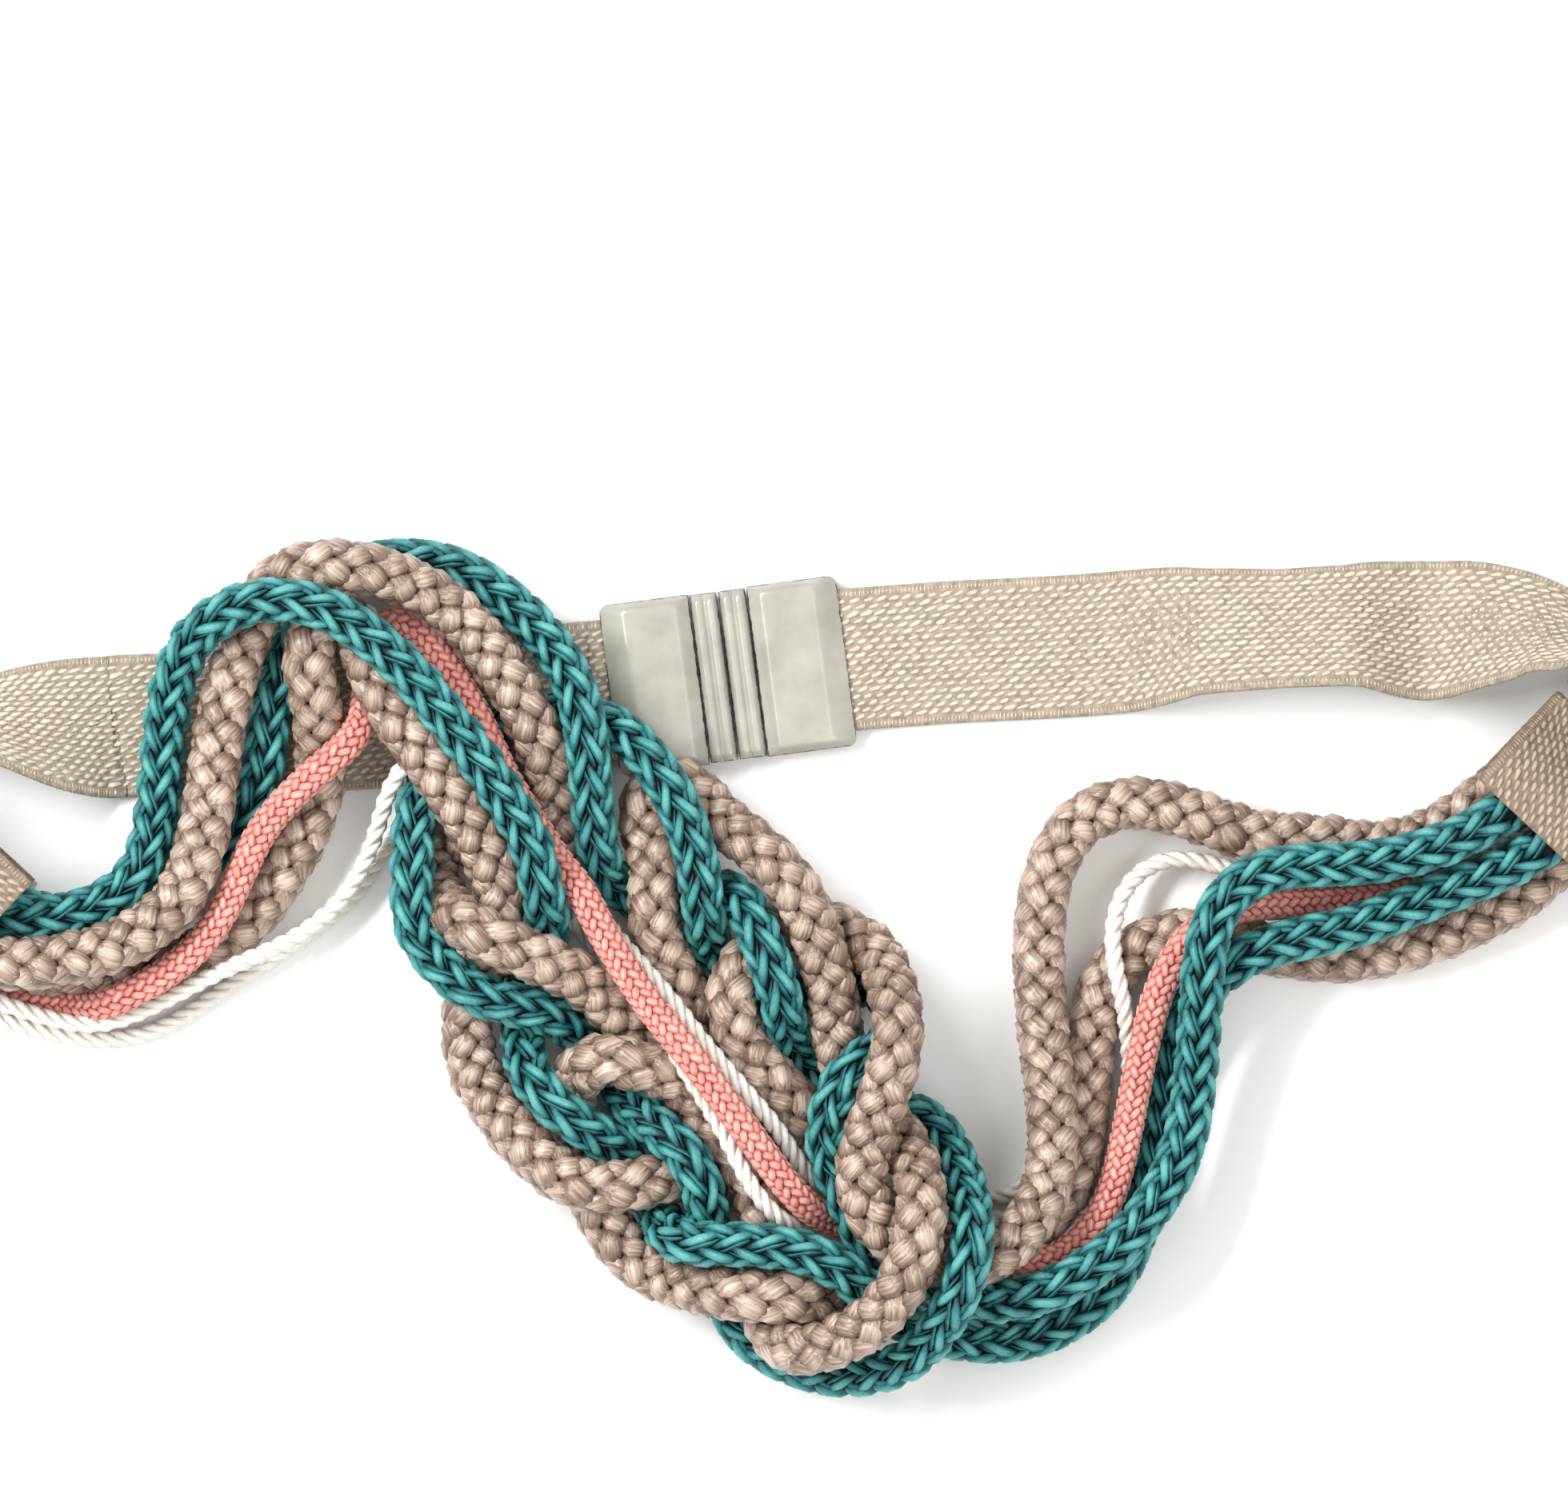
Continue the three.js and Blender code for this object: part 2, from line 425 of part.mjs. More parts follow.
// An elastic band swept through its table of sections, with a plain rectangular section.
function strap(rows) {
  const curveOf = (list) => new THREE.CatmullRomCurve3(list, false, 'catmullrom');
  const middle = curveOf(rows.map(([x, y, z]) => new THREE.Vector3(x, y, z)));
  const banks = curveOf(rows.map((row) => new THREE.Vector3(row[3], 0, 0)));
  const up = new THREE.Vector3(0, 0, 1);
  const rings = [];
  for (let step = 0; step <= STRAP_STEPS; step++) {
    const t = step / STRAP_STEPS;
    const centre = middle.getPoint(t);
    const along = middle.getTangent(t);
    const left = new THREE.Vector3().crossVectors(up, along).normalize();
    const across = left.applyAxisAngle(along, -radians(banks.getPoint(t).x));
    const normal = new THREE.Vector3().crossVectors(along, across).normalize();
    const ring = [];
    for (const [side, face] of [[1, 1], [1, -1], [0, -1], [-1, -1], [-1, 1], [0, 1]]) {
      const corner = centre.clone().addScaledVector(across, side * STRAP_WIDTH / 2);
      ring.push(corner.addScaledVector(normal, face * STRAP_THICKNESS / 2).toArray());
    }
    rings.push(ring);
  }
  return loft(rings);
}

// The strap's end folded round the cords: two layers that open like a duck's bill.
function tab(mouth) {
  const seat = TAB_MOUTH / 2 + STRAP_THICKNESS / 2;
  const outer = [];
  const inner = [];
  const count = 8;
  for (let k = 0; k <= count; k++) {
    const run = TAB_LENGTH * k / count;
    const open = Math.max(0, run - TAB_GRIP) / (TAB_LENGTH - TAB_GRIP);
    const half = (TAB_MOUTH / 2) * (1 + Math.cos(Math.PI * open)) / 2;
    outer.push([run, half + STRAP_THICKNESS]);
    if (half > CLEARANCE / 2 && k < count) inner.push([run, half]);
  }
  const upper = outer.map(([run, half]) => [run, seat + half]);
  const lower = outer.map(([run, half]) => [run, seat - half]).reverse();
  const pocket = inner.map(([run, half]) => [run, seat - half]);
  const ceiling = inner.map(([run, half]) => [run, seat + half]).reverse();
  const outline = [...upper, ...lower, ...pocket, ...ceiling];
  const geometry = acrossDepth(outline, STRAP_WIDTH);
  geometry.translate(0, 0, STRAP_THICKNESS / 2);
  geometry.rotateZ(radians(mouth.heading));
  return geometry.translate(mouth.x, mouth.y, 0);
}

// Pillow-shaped plate with a slot in its outer side for the strap.
function claspPlate() {
  const inner = BAR_WIDTH + CLEARANCE;
  const outer = inner + PLATE_WIDTH;
  const low = CLASP_HEIGHT - PLATE_EDGE_DROP;
  const rim = CLASP_HEIGHT - PLATE_RIM_DROP;
  const outline = [
    [inner, 0], [outer, 0], [outer, low - EDGE_ROUND], [outer - EDGE_ROUND, low + EDGE_ROUND / 2],
    [outer - OUTER_BEVEL, rim], [outer - OUTER_SLOPE, CLASP_HEIGHT], [inner + INNER_SLOPE, CLASP_HEIGHT],
    [inner + INNER_BEVEL, rim], [inner, low + EDGE_ROUND],
  ];
  const slotHalf = STRAP_WIDTH / 2 + CLEARANCE;
  const slotLow = STRAP_SEAT - STRAP_THICKNESS / 2 - CLEARANCE;
  const slotHigh = STRAP_SEAT + STRAP_THICKNESS / 2 + CLEARANCE;
  const slot = block([outer - SLOT_DEPTH, -slotHalf, slotLow], [outer + 1, slotHalf, slotHigh]);
  return toSolid(acrossDepth(outline, CLASP_DEPTH)).subtract(slot);
}

// Ridged bar that hooks behind the other half's bar.
function claspBar() {
  const from = -BAR_WIDTH;
  const to = -CLEARANCE / 2;
  const base = WEB_THICKNESS + CLEARANCE;
  const mid = (from + to) / 2;
  const top = CLASP_HEIGHT - BAR_DROP;
  const outline = [
    [from, base], [to, base], [to, top - BAR_ROUND], [to - BAR_ROUND, top], [mid + RIDGE_HALF, top],
    [mid, top - BAR_GROOVE], [mid - RIDGE_HALF, top], [from + BAR_ROUND, top], [from, top - BAR_ROUND],
  ];
  return toSolid(acrossDepth(outline, CLASP_DEPTH));
}

// One half of the clasp: its plate, its bar beyond the other's bar, and the webs between them.
function claspHalf(webs) {
  let half = claspPlate().add(claspBar());
  const plateSide = BAR_WIDTH + CLEARANCE + 0.5;
  for (const [from, to] of webs) {
    half = half.add(block([-BAR_WIDTH, from, 0], [plateSide, to, WEB_THICKNESS]));
    half = half.add(block([-BAR_WIDTH, from, 0], [-CLEARANCE, to, WEB_THICKNESS + 2 * CLEARANCE]));
  }
  return half;
}

const belt = new THREE.Group();

const cords = [
  ['teal_cord_1', TEAL_DIAMETER, TEAL], ['teal_cord_2', TEAL_DIAMETER, TEAL],
  ['taupe_cord_1', TAUPE_DIAMETER, TAUPE], ['taupe_cord_2', TAUPE_DIAMETER, TAUPE],
  ['pink_cord', PINK_DIAMETER, PINK],
  ['white_cord_1', WHITE_DIAMETER, WHITE], ['white_cord_2', WHITE_DIAMETER, WHITE],
].map(([name, diameter, finish]) => ({ name, diameter, finish, points: routeStations(name, diameter) }));
settlePile(cords);
dented(cords.map(cordTube)).forEach((tube, k) => {
  belt.add(named(cords[k].name, toGeometry(tube), cords[k].finish));
});

belt.add(named('strap_right', strap(RIGHT_STRAP), ELASTIC));
belt.add(named('strap_left', strap(LEFT_STRAP), ELASTIC));
belt.add(named('tab_right', tab(RIGHT_MOUTH), ELASTIC));
belt.add(named('tab_left', tab(LEFT_MOUTH), ELASTIC));

const clasp = new THREE.Group();
clasp.rotation.z = radians(CLASP_ANGLE);
const webEdge = CLASP_DEPTH / 2;
const rightHalf = claspHalf([[-WEB_WIDTH, WEB_WIDTH]]);
const leftHalf = claspHalf([[webEdge - WEB_WIDTH, webEdge], [-webEdge, WEB_WIDTH - webEdge]]);
clasp.add(named('clasp_right_half', toGeometry(rightHalf), ENAMEL));
const leftMesh = named('clasp_left_half', toGeometry(leftHalf), ENAMEL);
leftMesh.rotation.z = Math.PI;
clasp.add(leftMesh);
belt.add(clasp);

export default belt;
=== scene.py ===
"""Rope belt: soft cords tied in a chain knot, two knitted elastic straps and an enamelled clasp.

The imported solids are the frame. Each cord is a braid of modelled strands bent along the route
that its solid follows, each strap and tab is a knitted band, and the clasp halves are pillow-shaped
plates and ridged bars. Metres, +Z up, table at z = 0, origin under the middle of the clasp.
"""

import math

import bmesh
import bpy
import numpy as np
from bpy.props import FloatProperty, FloatVectorProperty, IntProperty, PointerProperty
from bpy.types import Operator, Panel, PropertyGroup
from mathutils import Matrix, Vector


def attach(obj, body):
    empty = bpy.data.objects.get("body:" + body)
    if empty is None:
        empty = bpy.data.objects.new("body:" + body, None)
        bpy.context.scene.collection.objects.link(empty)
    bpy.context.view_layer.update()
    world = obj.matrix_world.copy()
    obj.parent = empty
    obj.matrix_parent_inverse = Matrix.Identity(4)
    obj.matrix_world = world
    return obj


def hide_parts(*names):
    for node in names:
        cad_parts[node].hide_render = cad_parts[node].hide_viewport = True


bl_info = {
    "name": "Rope belt",
    "version": (1, 0, 0),
    "blender": (4, 5, 0),
    "location": "3D view > Sidebar > Rope belt",
    "description": "Builds a rope belt of braided cords, knitted elastic and an enamelled clasp",
    "category": "Add Mesh",
}

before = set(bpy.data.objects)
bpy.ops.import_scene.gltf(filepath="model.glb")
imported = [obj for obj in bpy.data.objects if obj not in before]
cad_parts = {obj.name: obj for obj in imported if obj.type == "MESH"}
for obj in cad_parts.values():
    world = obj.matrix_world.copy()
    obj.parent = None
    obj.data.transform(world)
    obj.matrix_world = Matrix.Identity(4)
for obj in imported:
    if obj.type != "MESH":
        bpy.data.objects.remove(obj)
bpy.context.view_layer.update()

MM = 0.001
UP = np.array([0.0, 0.0, 1.0])

# Sizes that the solids share.
CLEARANCE = 0.3 * MM
DIAMETERS = {"teal": 8.6 * MM, "taupe": 10 * MM, "pink": 6 * MM, "white": 3.3 * MM}
STRAP_WIDTH = 25.4 * MM
STRAP_THICKNESS = 1.8 * MM
STRAP_TOP = 2 * MM
CLASP_ANGLE = math.radians(7.5)
CLASP_DEPTH = 30.6 * MM
CLASP_HEIGHT = 6 * MM
PLATE_WIDTH = 16 * MM
BAR_WIDTH = 5 * MM
TAB_LENGTH = 22 * MM
TAB_MOUTH = 22.4 * MM
TAB_GRIP = 5 * MM

# Rest of the cord pile: spacing of its stations, height of one layer, and how it settles. A cord
# meets itself only where its own run is over OWN_GAP times the room that it needs.
STATION = 4 * MM
LAYER = 9 * MM
SETTLE_ROUNDS = 360
PARTING_ROUNDS = 260
FAIRING_ROUNDS = 8
SETTLE_MARGIN = 0.7 * MM
PINNED_LENGTH = 7 * MM
NEAR_REACH = 8 * MM
CLEAR_ORDER = 3 * MM
SIDE_PUSH = 0.4
FINE_STEPS = 40
PAIRING_ROUNDS = 20
OWN_GAP = 2.2
TOUCH_REACH = 2 * MM
CLEAR_RISE = 0.35
MOST_APART = 0.98
STRAP_REACH = 0.7
EARLY_PULL = {"sink": 0.12 * MM, "level": 0.3, "homing": 0.12, "smoothing": 0.08}
LATE_PULL = {"sink": 0, "level": 0.05, "homing": 0.04, "smoothing": 0.05}
FAIRING_PULL = {"sink": 0, "level": 0.12, "homing": 0, "smoothing": 0.12}

# Middle of each tab mouth and the way its strap leads off, in degrees.
LEFT_MOUTH = {"x": -0.132, "y": -0.046, "heading": 137, "side": -1}
RIGHT_MOUTH = {"x": 0.1423, "y": -0.027, "heading": 47, "side": 1}

# Places of cord ends in a tab mouth: along its edge, and height of the cord's middle.
LEFT_ENDS = {
    "teal_cord_1": (0.004, 0.0153), "teal_cord_2": (0.007, 0.0066), "taupe_cord_1": (-0.003, 0.0074),
    "taupe_cord_2": (-0.006, 0.0174), "pink_cord": (-0.0125, 0.0054), "white_cord_1": (-0.011, 0.0103),
    "white_cord_2": (-0.015, 0.01),
}
RIGHT_ENDS = {
    "teal_cord_1": (-0.0044, 0.0164), "teal_cord_2": (0.0046, 0.0163), "taupe_cord_1": (0.0085, 0.0075),
    "taupe_cord_2": (-0.0081, 0.0075), "pink_cord": (0.0003, 0.0054), "white_cord_1": (0.002, 0.0102),
    "white_cord_2": (-0.0016, 0.0102),
}

# Cord routes from the left tab to the right one: x, y, and the layer of the pile it runs in.
ROUTES = {
    "teal_cord_1": [
        (-0.1235, -0.044, 1), (-0.111, -0.0415, 1), (-0.105, -0.0375, 1), (-0.1025, -0.0315, 0.8),
        (-0.101, -0.0185, 0.6), (-0.1, -0.0055, 0.6), (-0.0955, 0.0055, 1), (-0.0905, 0.011, 2),
        (-0.084, 0.014, 2.4), (-0.077, 0.0145, 2.5), (-0.0705, 0.0125, 2.5), (-0.065, 0.0085, 2.5),
        (-0.0555, -0.0005, 2.3), (-0.0475, -0.011, 2), (-0.0405, -0.0205, 2), (-0.034, -0.03, 2.2),
        (-0.033, -0.036, 1.9), (-0.0342, -0.043, 1), (-0.036, -0.05, 0), (-0.0375, -0.058, 0),
        (-0.037, -0.065, 0.8), (-0.032, -0.074, 1.2), (-0.0245, -0.0815, 1), (-0.0185, -0.0845, 0.6),
        (-0.0142, -0.0895, 0), (-0.0127, -0.096, 0), (-0.008, -0.1, 1), (0, -0.101, 2),
        (0.0125, -0.102, 2), (0.022, -0.106, 1.4), (0.032, -0.1125, 1.1), (0.0405, -0.1175, 0.4),
        (0.0475, -0.1195, 0), (0.0545, -0.1185, 0), (0.062, -0.115, 0), (0.0695, -0.108, 0),
        (0.074, -0.096, 0), (0.077, -0.079, 0), (0.0795, -0.0645, 0), (0.083, -0.0565, 0),
        (0.0895, -0.0505, 0.2), (0.097, -0.0475, 0.8), (0.1115, -0.045, 1), (0.126, -0.039, 1.2),
        (0.137, -0.0345, 1.3),
    ],
    "teal_cord_2": [
        (-0.117, -0.0445, 0), (-0.106, -0.0425, 0), (-0.0975, -0.037, 0), (-0.0895, -0.029, 0),
        (-0.084, -0.022, 0.2), (-0.0815, -0.012, 0), (-0.0805, 0, 0), (-0.078, 0.0075, 0),
        (-0.0745, 0.015, 0), (-0.07, 0.0182, 0), (-0.065, 0.0203, 0.2), (-0.0565, 0.0213, 0.4),
        (-0.0463, 0.0188, 0.8), (-0.0365, 0.0113, 1), (-0.0285, 0.002, 1.2), (-0.0255, -0.0095, 1.6),
        (-0.0243, -0.021, 1.8), (-0.024, -0.029, 1.4), (-0.0225, -0.037, 0.8), (-0.0185, -0.041, 0),
        (-0.0125, -0.042, 0), (-0.0065, -0.0395, 0), (-0.001, -0.0387, 0.7), (0.004, -0.043, 1.2),
        (0.0075, -0.0505, 1.4), (0.0098, -0.058, 1.6), (0.01, -0.064, 1.2), (0.0135, -0.07, 0.3),
        (0.019, -0.075, 0), (0.026, -0.0773, 0), (0.033, -0.077, 0.4), (0.038, -0.08, 0.8),
        (0.042, -0.089, 1), (0.043, -0.0965, 1.6), (0.0415, -0.1085, 2.2), (0.035, -0.1195, 1.2),
        (0.028, -0.124, 0.9), (0.02, -0.1253, 0.6), (0.0125, -0.1237, 0.3), (0.006, -0.1198, 0),
        (0.0015, -0.114, 0), (-0.0015, -0.1075, 0), (-0.002, -0.101, 0.2), (-0.0024, -0.0945, 1),
        (-0.0044, -0.0875, 1.6), (-0.0095, -0.0815, 1.6), (-0.0165, -0.0754, 1), (-0.021, -0.0725, 0.4),
        (-0.0225, -0.068, 0), (-0.0255, -0.0635, 0.2), (-0.034, -0.0595, 1.2), (-0.0445, -0.057, 1),
        (-0.0515, -0.051, 0.8), (-0.0552, -0.04, 1.3), (-0.056, -0.028, 1.2), (-0.0535, -0.018, 0),
        (-0.046, -0.01, 0), (-0.034, -0.0065, 0), (-0.0235, -0.007, 0.4), (-0.017, -0.011, 1.2),
        (-0.0113, -0.018, 1.2), (-0.0065, -0.027, 1.2), (-0.0047, -0.036, 1.7), (-0.0048, -0.043, 1.2),
        (-0.0042, -0.0495, 0.3), (-0.0005, -0.0555, 0), (0.0065, -0.0587, 0), (0.0145, -0.057, 0),
        (0.022, -0.0535, 0), (0.029, -0.0545, 0), (0.031, -0.06, 0.2), (0.029, -0.0655, 0.8),
        (0.024, -0.0675, 1.4), (0.0195, -0.0725, 2), (0.0172, -0.0795, 1.8), (0.0168, -0.087, 1.4),
        (0.0195, -0.095, 1.4), (0.025, -0.103, 1.2), (0.033, -0.109, 1), (0.042, -0.1113, 1),
        (0.05, -0.1107, 1), (0.057, -0.109, 1), (0.064, -0.106, 1), (0.0705, -0.101, 1),
        (0.0755, -0.095, 1), (0.08, -0.088, 1), (0.0825, -0.079, 1), (0.084, -0.061, 1.6),
        (0.085, -0.045, 1.8), (0.088, -0.0385, 1.8), (0.0935, -0.0345, 1.6), (0.101, -0.0335, 1.4),
        (0.115, -0.0335, 1.2), (0.13, -0.0295, 1.3),
    ],
    "taupe_cord_1": [
        (-0.124, -0.053, 0), (-0.112, -0.054, 0), (-0.1, -0.0525, 0), (-0.09, -0.048, 0.4),
        (-0.0825, -0.04, 0.8), (-0.0765, -0.03, 0.8), (-0.0722, -0.02, 0.8), (-0.0725, -0.009, 0.6),
        (-0.0745, 0, 0.8), (-0.0765, 0.007, 1), (-0.075, 0.0135, 1.1), (-0.0705, 0.016, 1.2),
        (-0.0663, 0.0125, 1.2), (-0.065, 0.006, 1.2), (-0.0635, -0.001, 1.4), (-0.0603, -0.006, 1.6),
        (-0.0545, -0.013, 1.8), (-0.046, -0.0265, 1.8), (-0.0405, -0.035, 1.6), (-0.0385, -0.042, 0.9),
        (-0.0403, -0.0495, 0.4), (-0.044, -0.055, 0), (-0.0463, -0.061, 0.8), (-0.044, -0.0725, 1),
        (-0.038, -0.082, 1.4), (-0.0305, -0.0885, 1.9), (-0.0215, -0.0913, 1.6), (-0.012, -0.0905, 1),
        (-0.004, -0.092, 0), (0.004, -0.0925, 0), (0.0115, -0.0915, 0), (0.0168, -0.0865, 0),
        (0.0155, -0.08, 0.6), (0.012, -0.0745, 1.4), (0.0065, -0.0685, 1), (0.0015, -0.0635, 0.9),
        (-0.0008, -0.056, 1.1), (0.0005, -0.0495, 0.8), (0.005, -0.0445, 0.2), (0.011, -0.042, 0),
        (0.0175, -0.0435, 0), (0.023, -0.048, 0.2), (0.0275, -0.053, 1), (0.0305, -0.062, 1.8),
        (0.0285, -0.072, 2.2), (0.0245, -0.083, 2.2), (0.0225, -0.091, 1.8), (0.026, -0.099, 1.4),
        (0.033, -0.1045, 1.1), (0.0405, -0.1065, 1.1), (0.0475, -0.1045, 1.2), (0.054, -0.0975, 1.2),
        (0.0585, -0.086, 1.1), (0.056, -0.063, 1), (0.0553, -0.043, 1), (0.0595, -0.028, 1),
        (0.066, -0.0228, 1), (0.075, -0.022, 1), (0.085, -0.0255, 0.8), (0.095, -0.03, 0.4),
        (0.106, -0.0325, 0), (0.118, -0.0318, 0), (0.1295, -0.028, 0.2),
    ],
    "taupe_cord_2": [
        (-0.129, -0.0505, 1.8), (-0.1175, -0.0507, 1.8), (-0.105, -0.0465, 1.8), (-0.096, -0.039, 1.4),
        (-0.0925, -0.026, 0.8), (-0.091, -0.012, 0.6), (-0.0885, 0.001, 0.6), (-0.0845, 0.009, 1),
        (-0.079, 0.0165, 1.6), (-0.072, 0.0185, 1.8), (-0.064, 0.018, 1.8), (-0.0575, 0.0175, 1.6),
        (-0.048, 0.0115, 1.8), (-0.041, 0.0015, 1.8), (-0.0353, -0.0085, 1.6), (-0.031, -0.021, 1.2),
        (-0.029, -0.03, 0.4), (-0.0305, -0.0365, 0), (-0.036, -0.04, 0), (-0.041, -0.037, 0),
        (-0.043, -0.031, 0), (-0.046, -0.026, 0), (-0.05, -0.0243, 0), (-0.054, -0.0273, 0),
        (-0.0545, -0.033, 0), (-0.0515, -0.039, 0.1), (-0.0475, -0.0433, 1), (-0.0425, -0.046, 2.2),
        (-0.034, -0.0495, 2.4), (-0.0245, -0.0545, 1.8), (-0.018, -0.062, 0.8), (-0.015, -0.069, 0),
        (-0.009, -0.0735, 0), (-0.0025, -0.071, 0), (-0.0015, -0.064, 0.2), (-0.005, -0.0565, 0.8),
        (-0.011, -0.0475, 1.2), (-0.0143, -0.036, 1.2), (-0.0163, -0.026, 1), (-0.0152, -0.0198, 0.2),
        (-0.0105, -0.017, 0), (-0.0055, -0.0195, 0), (-0.0023, -0.0255, 1), (0.004, -0.031, 1.6),
        (0.011, -0.038, 1.6), (0.0165, -0.048, 1.6), (0.019, -0.058, 1.4), (0.018, -0.065, 1.2),
        (0.0205, -0.071, 1), (0.026, -0.077, 1), (0.032, -0.083, 1.6), (0.035, -0.092, 2),
        (0.035, -0.1, 2.3), (0.032, -0.1075, 2.3), (0.025, -0.1155, 2), (0.015, -0.119, 1.6),
        (0.007, -0.1173, 0.8), (0.0065, -0.109, 0), (0.0063, -0.1, 0.4), (0.0037, -0.0915, 1.3),
        (-0.0017, -0.0835, 1.4), (-0.0065, -0.076, 1.4), (-0.016, -0.068, 1.8), (-0.0245, -0.0665, 1.8),
        (-0.0275, -0.071, 1.2), (-0.0265, -0.08, 0), (-0.024, -0.089, 0), (-0.02, -0.0973, 0.5),
        (-0.0128, -0.1052, 0.6), (-0.0015, -0.11, 1), (0.012, -0.1125, 1), (0.022, -0.1125, 0.4),
        (0.03, -0.1115, 0), (0.038, -0.1095, 0), (0.046, -0.107, 0), (0.0535, -0.102, 0),
        (0.0595, -0.095, 0), (0.0628, -0.087, 0), (0.064, -0.072, 0), (0.066, -0.056, 0),
        (0.073, -0.0475, 0), (0.083, -0.045, 0), (0.093, -0.048, 0.2), (0.104, -0.0505, 0.4),
        (0.1185, -0.0492, 0.4), (0.133, -0.0438, 0.4), (0.1435, -0.038, 0.4),
    ],
    "pink_cord": [
        (-0.13, -0.057, 0.2), (-0.1175, -0.058, 0.3), (-0.1055, -0.056, 1), (-0.094, -0.049, 1.4),
        (-0.0885, -0.039, 1.6), (-0.084, -0.028, 1.6), (-0.075, -0.0185, 1.8), (-0.065, -0.009, 1.8),
        (-0.065, -0.001, 1.2), (-0.0645, 0.007, 1), (-0.0605, 0.0125, 1), (-0.0555, 0.01, 1.2),
        (-0.051, 0.003, 1.2), (-0.043, -0.009, 1.2), (-0.0385, -0.018, 1.2), (-0.0343, -0.027, 1.2),
        (-0.0284, -0.036, 1.1), (-0.0233, -0.0455, 1.8), (-0.013, -0.06, 2), (-0.002, -0.0735, 2),
        (0.007, -0.087, 2), (0.014, -0.095, 1.7), (0.022, -0.0985, 0.4), (0.031, -0.0995, 0),
        (0.04, -0.1005, 0), (0.0485, -0.1035, 0.4), (0.056, -0.1053, 1), (0.062, -0.102, 1),
        (0.0675, -0.095, 1), (0.0703, -0.086, 1), (0.073, -0.071, 1), (0.076, -0.058, 1),
        (0.081, -0.047, 1), (0.089, -0.041, 0.8), (0.098, -0.04, 0.6), (0.114, -0.0395, 0.4),
        (0.127, -0.037, 0.3), (0.136, -0.032, 0.3),
    ],
    "white_cord_1": [
        (-0.1305, -0.058, 1.4), (-0.121, -0.0613, 1.3), (-0.112, -0.0622, 1), (-0.103, -0.0593, 0.8),
        (-0.091, -0.0523, 1), (-0.079, -0.0482, 0.8), (-0.0706, -0.0425, 0.9), (-0.0645, -0.034, 1.2),
        (-0.0605, -0.023, 1.2), (-0.054, -0.0115, 1.2), (-0.046, -0.009, 1), (-0.0405, -0.015, 0.6),
        (-0.0355, -0.023, 0.3), (-0.0305, -0.0305, 0.3), (-0.026, -0.0365, 0.6), (-0.0223, -0.0413, 1.5),
        (-0.0185, -0.0465, 2), (-0.01, -0.0575, 2), (-0.0005, -0.069, 2), (0.009, -0.08, 2),
        (0.0137, -0.089, 1.4), (0.018, -0.0925, 0.5), (0.024, -0.0915, 0), (0.033, -0.0915, 0),
        (0.043, -0.0925, 0), (0.05, -0.0955, 0), (0.0555, -0.089, 0), (0.0568, -0.078, 0),
        (0.056, -0.063, 0), (0.0555, -0.045, 0), (0.0595, -0.03, 0), (0.066, -0.0243, 0),
        (0.075, -0.0235, 0), (0.085, -0.0275, 0), (0.095, -0.034, 0.2), (0.106, -0.0345, 0.5),
        (0.118, -0.033, 0.9), (0.1305, -0.0288, 1.1),
    ],
    "white_cord_2": [
        (-0.1315, -0.0605, 0.6), (-0.121, -0.064, 0.2), (-0.112, -0.0655, 0), (-0.103, -0.0644, 0),
        (-0.096, -0.0605, 0), (-0.09, -0.0557, 0.3), (-0.0835, -0.052, 0.6), (-0.0755, -0.0468, 0.6),
        (-0.0665, -0.04, 0.6), (-0.061, -0.03, 0.6), (-0.055, -0.02, 0.6), (-0.046, -0.022, 0.6),
        (-0.037, -0.032, 0.3), (-0.033, -0.038, 0.2), (-0.029, -0.043, 0.3), (-0.0235, -0.0485, 0.8),
        (-0.0178, -0.056, 1.2), (-0.013, -0.0633, 1.8), (-0.0075, -0.071, 2), (-0.0005, -0.0805, 2.2),
        (0.0046, -0.0915, 2.4), (0.009, -0.097, 1.6), (0.0135, -0.0978, 0.6), (0.02, -0.0955, 0),
        (0.031, -0.0957, 0), (0.042, -0.096, 0), (0.0505, -0.0975, 0), (0.06, -0.0995, 0.2),
        (0.068, -0.093, 0.2), (0.071, -0.084, 0.2), (0.072, -0.071, 0.2), (0.0705, -0.059, 0.6),
        (0.0678, -0.047, 0.8), (0.071, -0.0355, 0.8), (0.081, -0.0313, 0.8), (0.092, -0.0355, 0.8),
        (0.11, -0.035, 0.9), (0.129, -0.031, 1),
    ],
}
RIGHT_STRAP = [
    (0.0177, 0.0023, 0.0024, 0), (0.0235, 0.003, 0.0022, 0), (0.03, 0.0035, 0.0012, 0),
    (0.0415, 0.0043, 0.0011, 0), (0.056, 0.005, 0.0011, 0), (0.07, 0.006, 0.0013, 2),
    (0.084, 0.0078, 0.0068, 28), (0.0985, 0.0084, 0.0079, 34), (0.1115, 0.0089, 0.0075, 32),
    (0.124, 0.008, 0.0033, 10), (0.134, 0.0087, 0.0065, 26), (0.144, 0.0082, 0.0099, 46),
    (0.15, 0.0069, 0.0116, 60), (0.156, 0.006, 0.0126, 75), (0.1607, 0.0053, 0.0128, 84),
    (0.164, 0.0034, 0.0128, 88), (0.1653, -0.0001, 0.0128, 94), (0.1638, -0.0039, 0.0126, 108),
    (0.1608, -0.007, 0.0123, 138), (0.1586, -0.0094, 0.0122, 168),
]
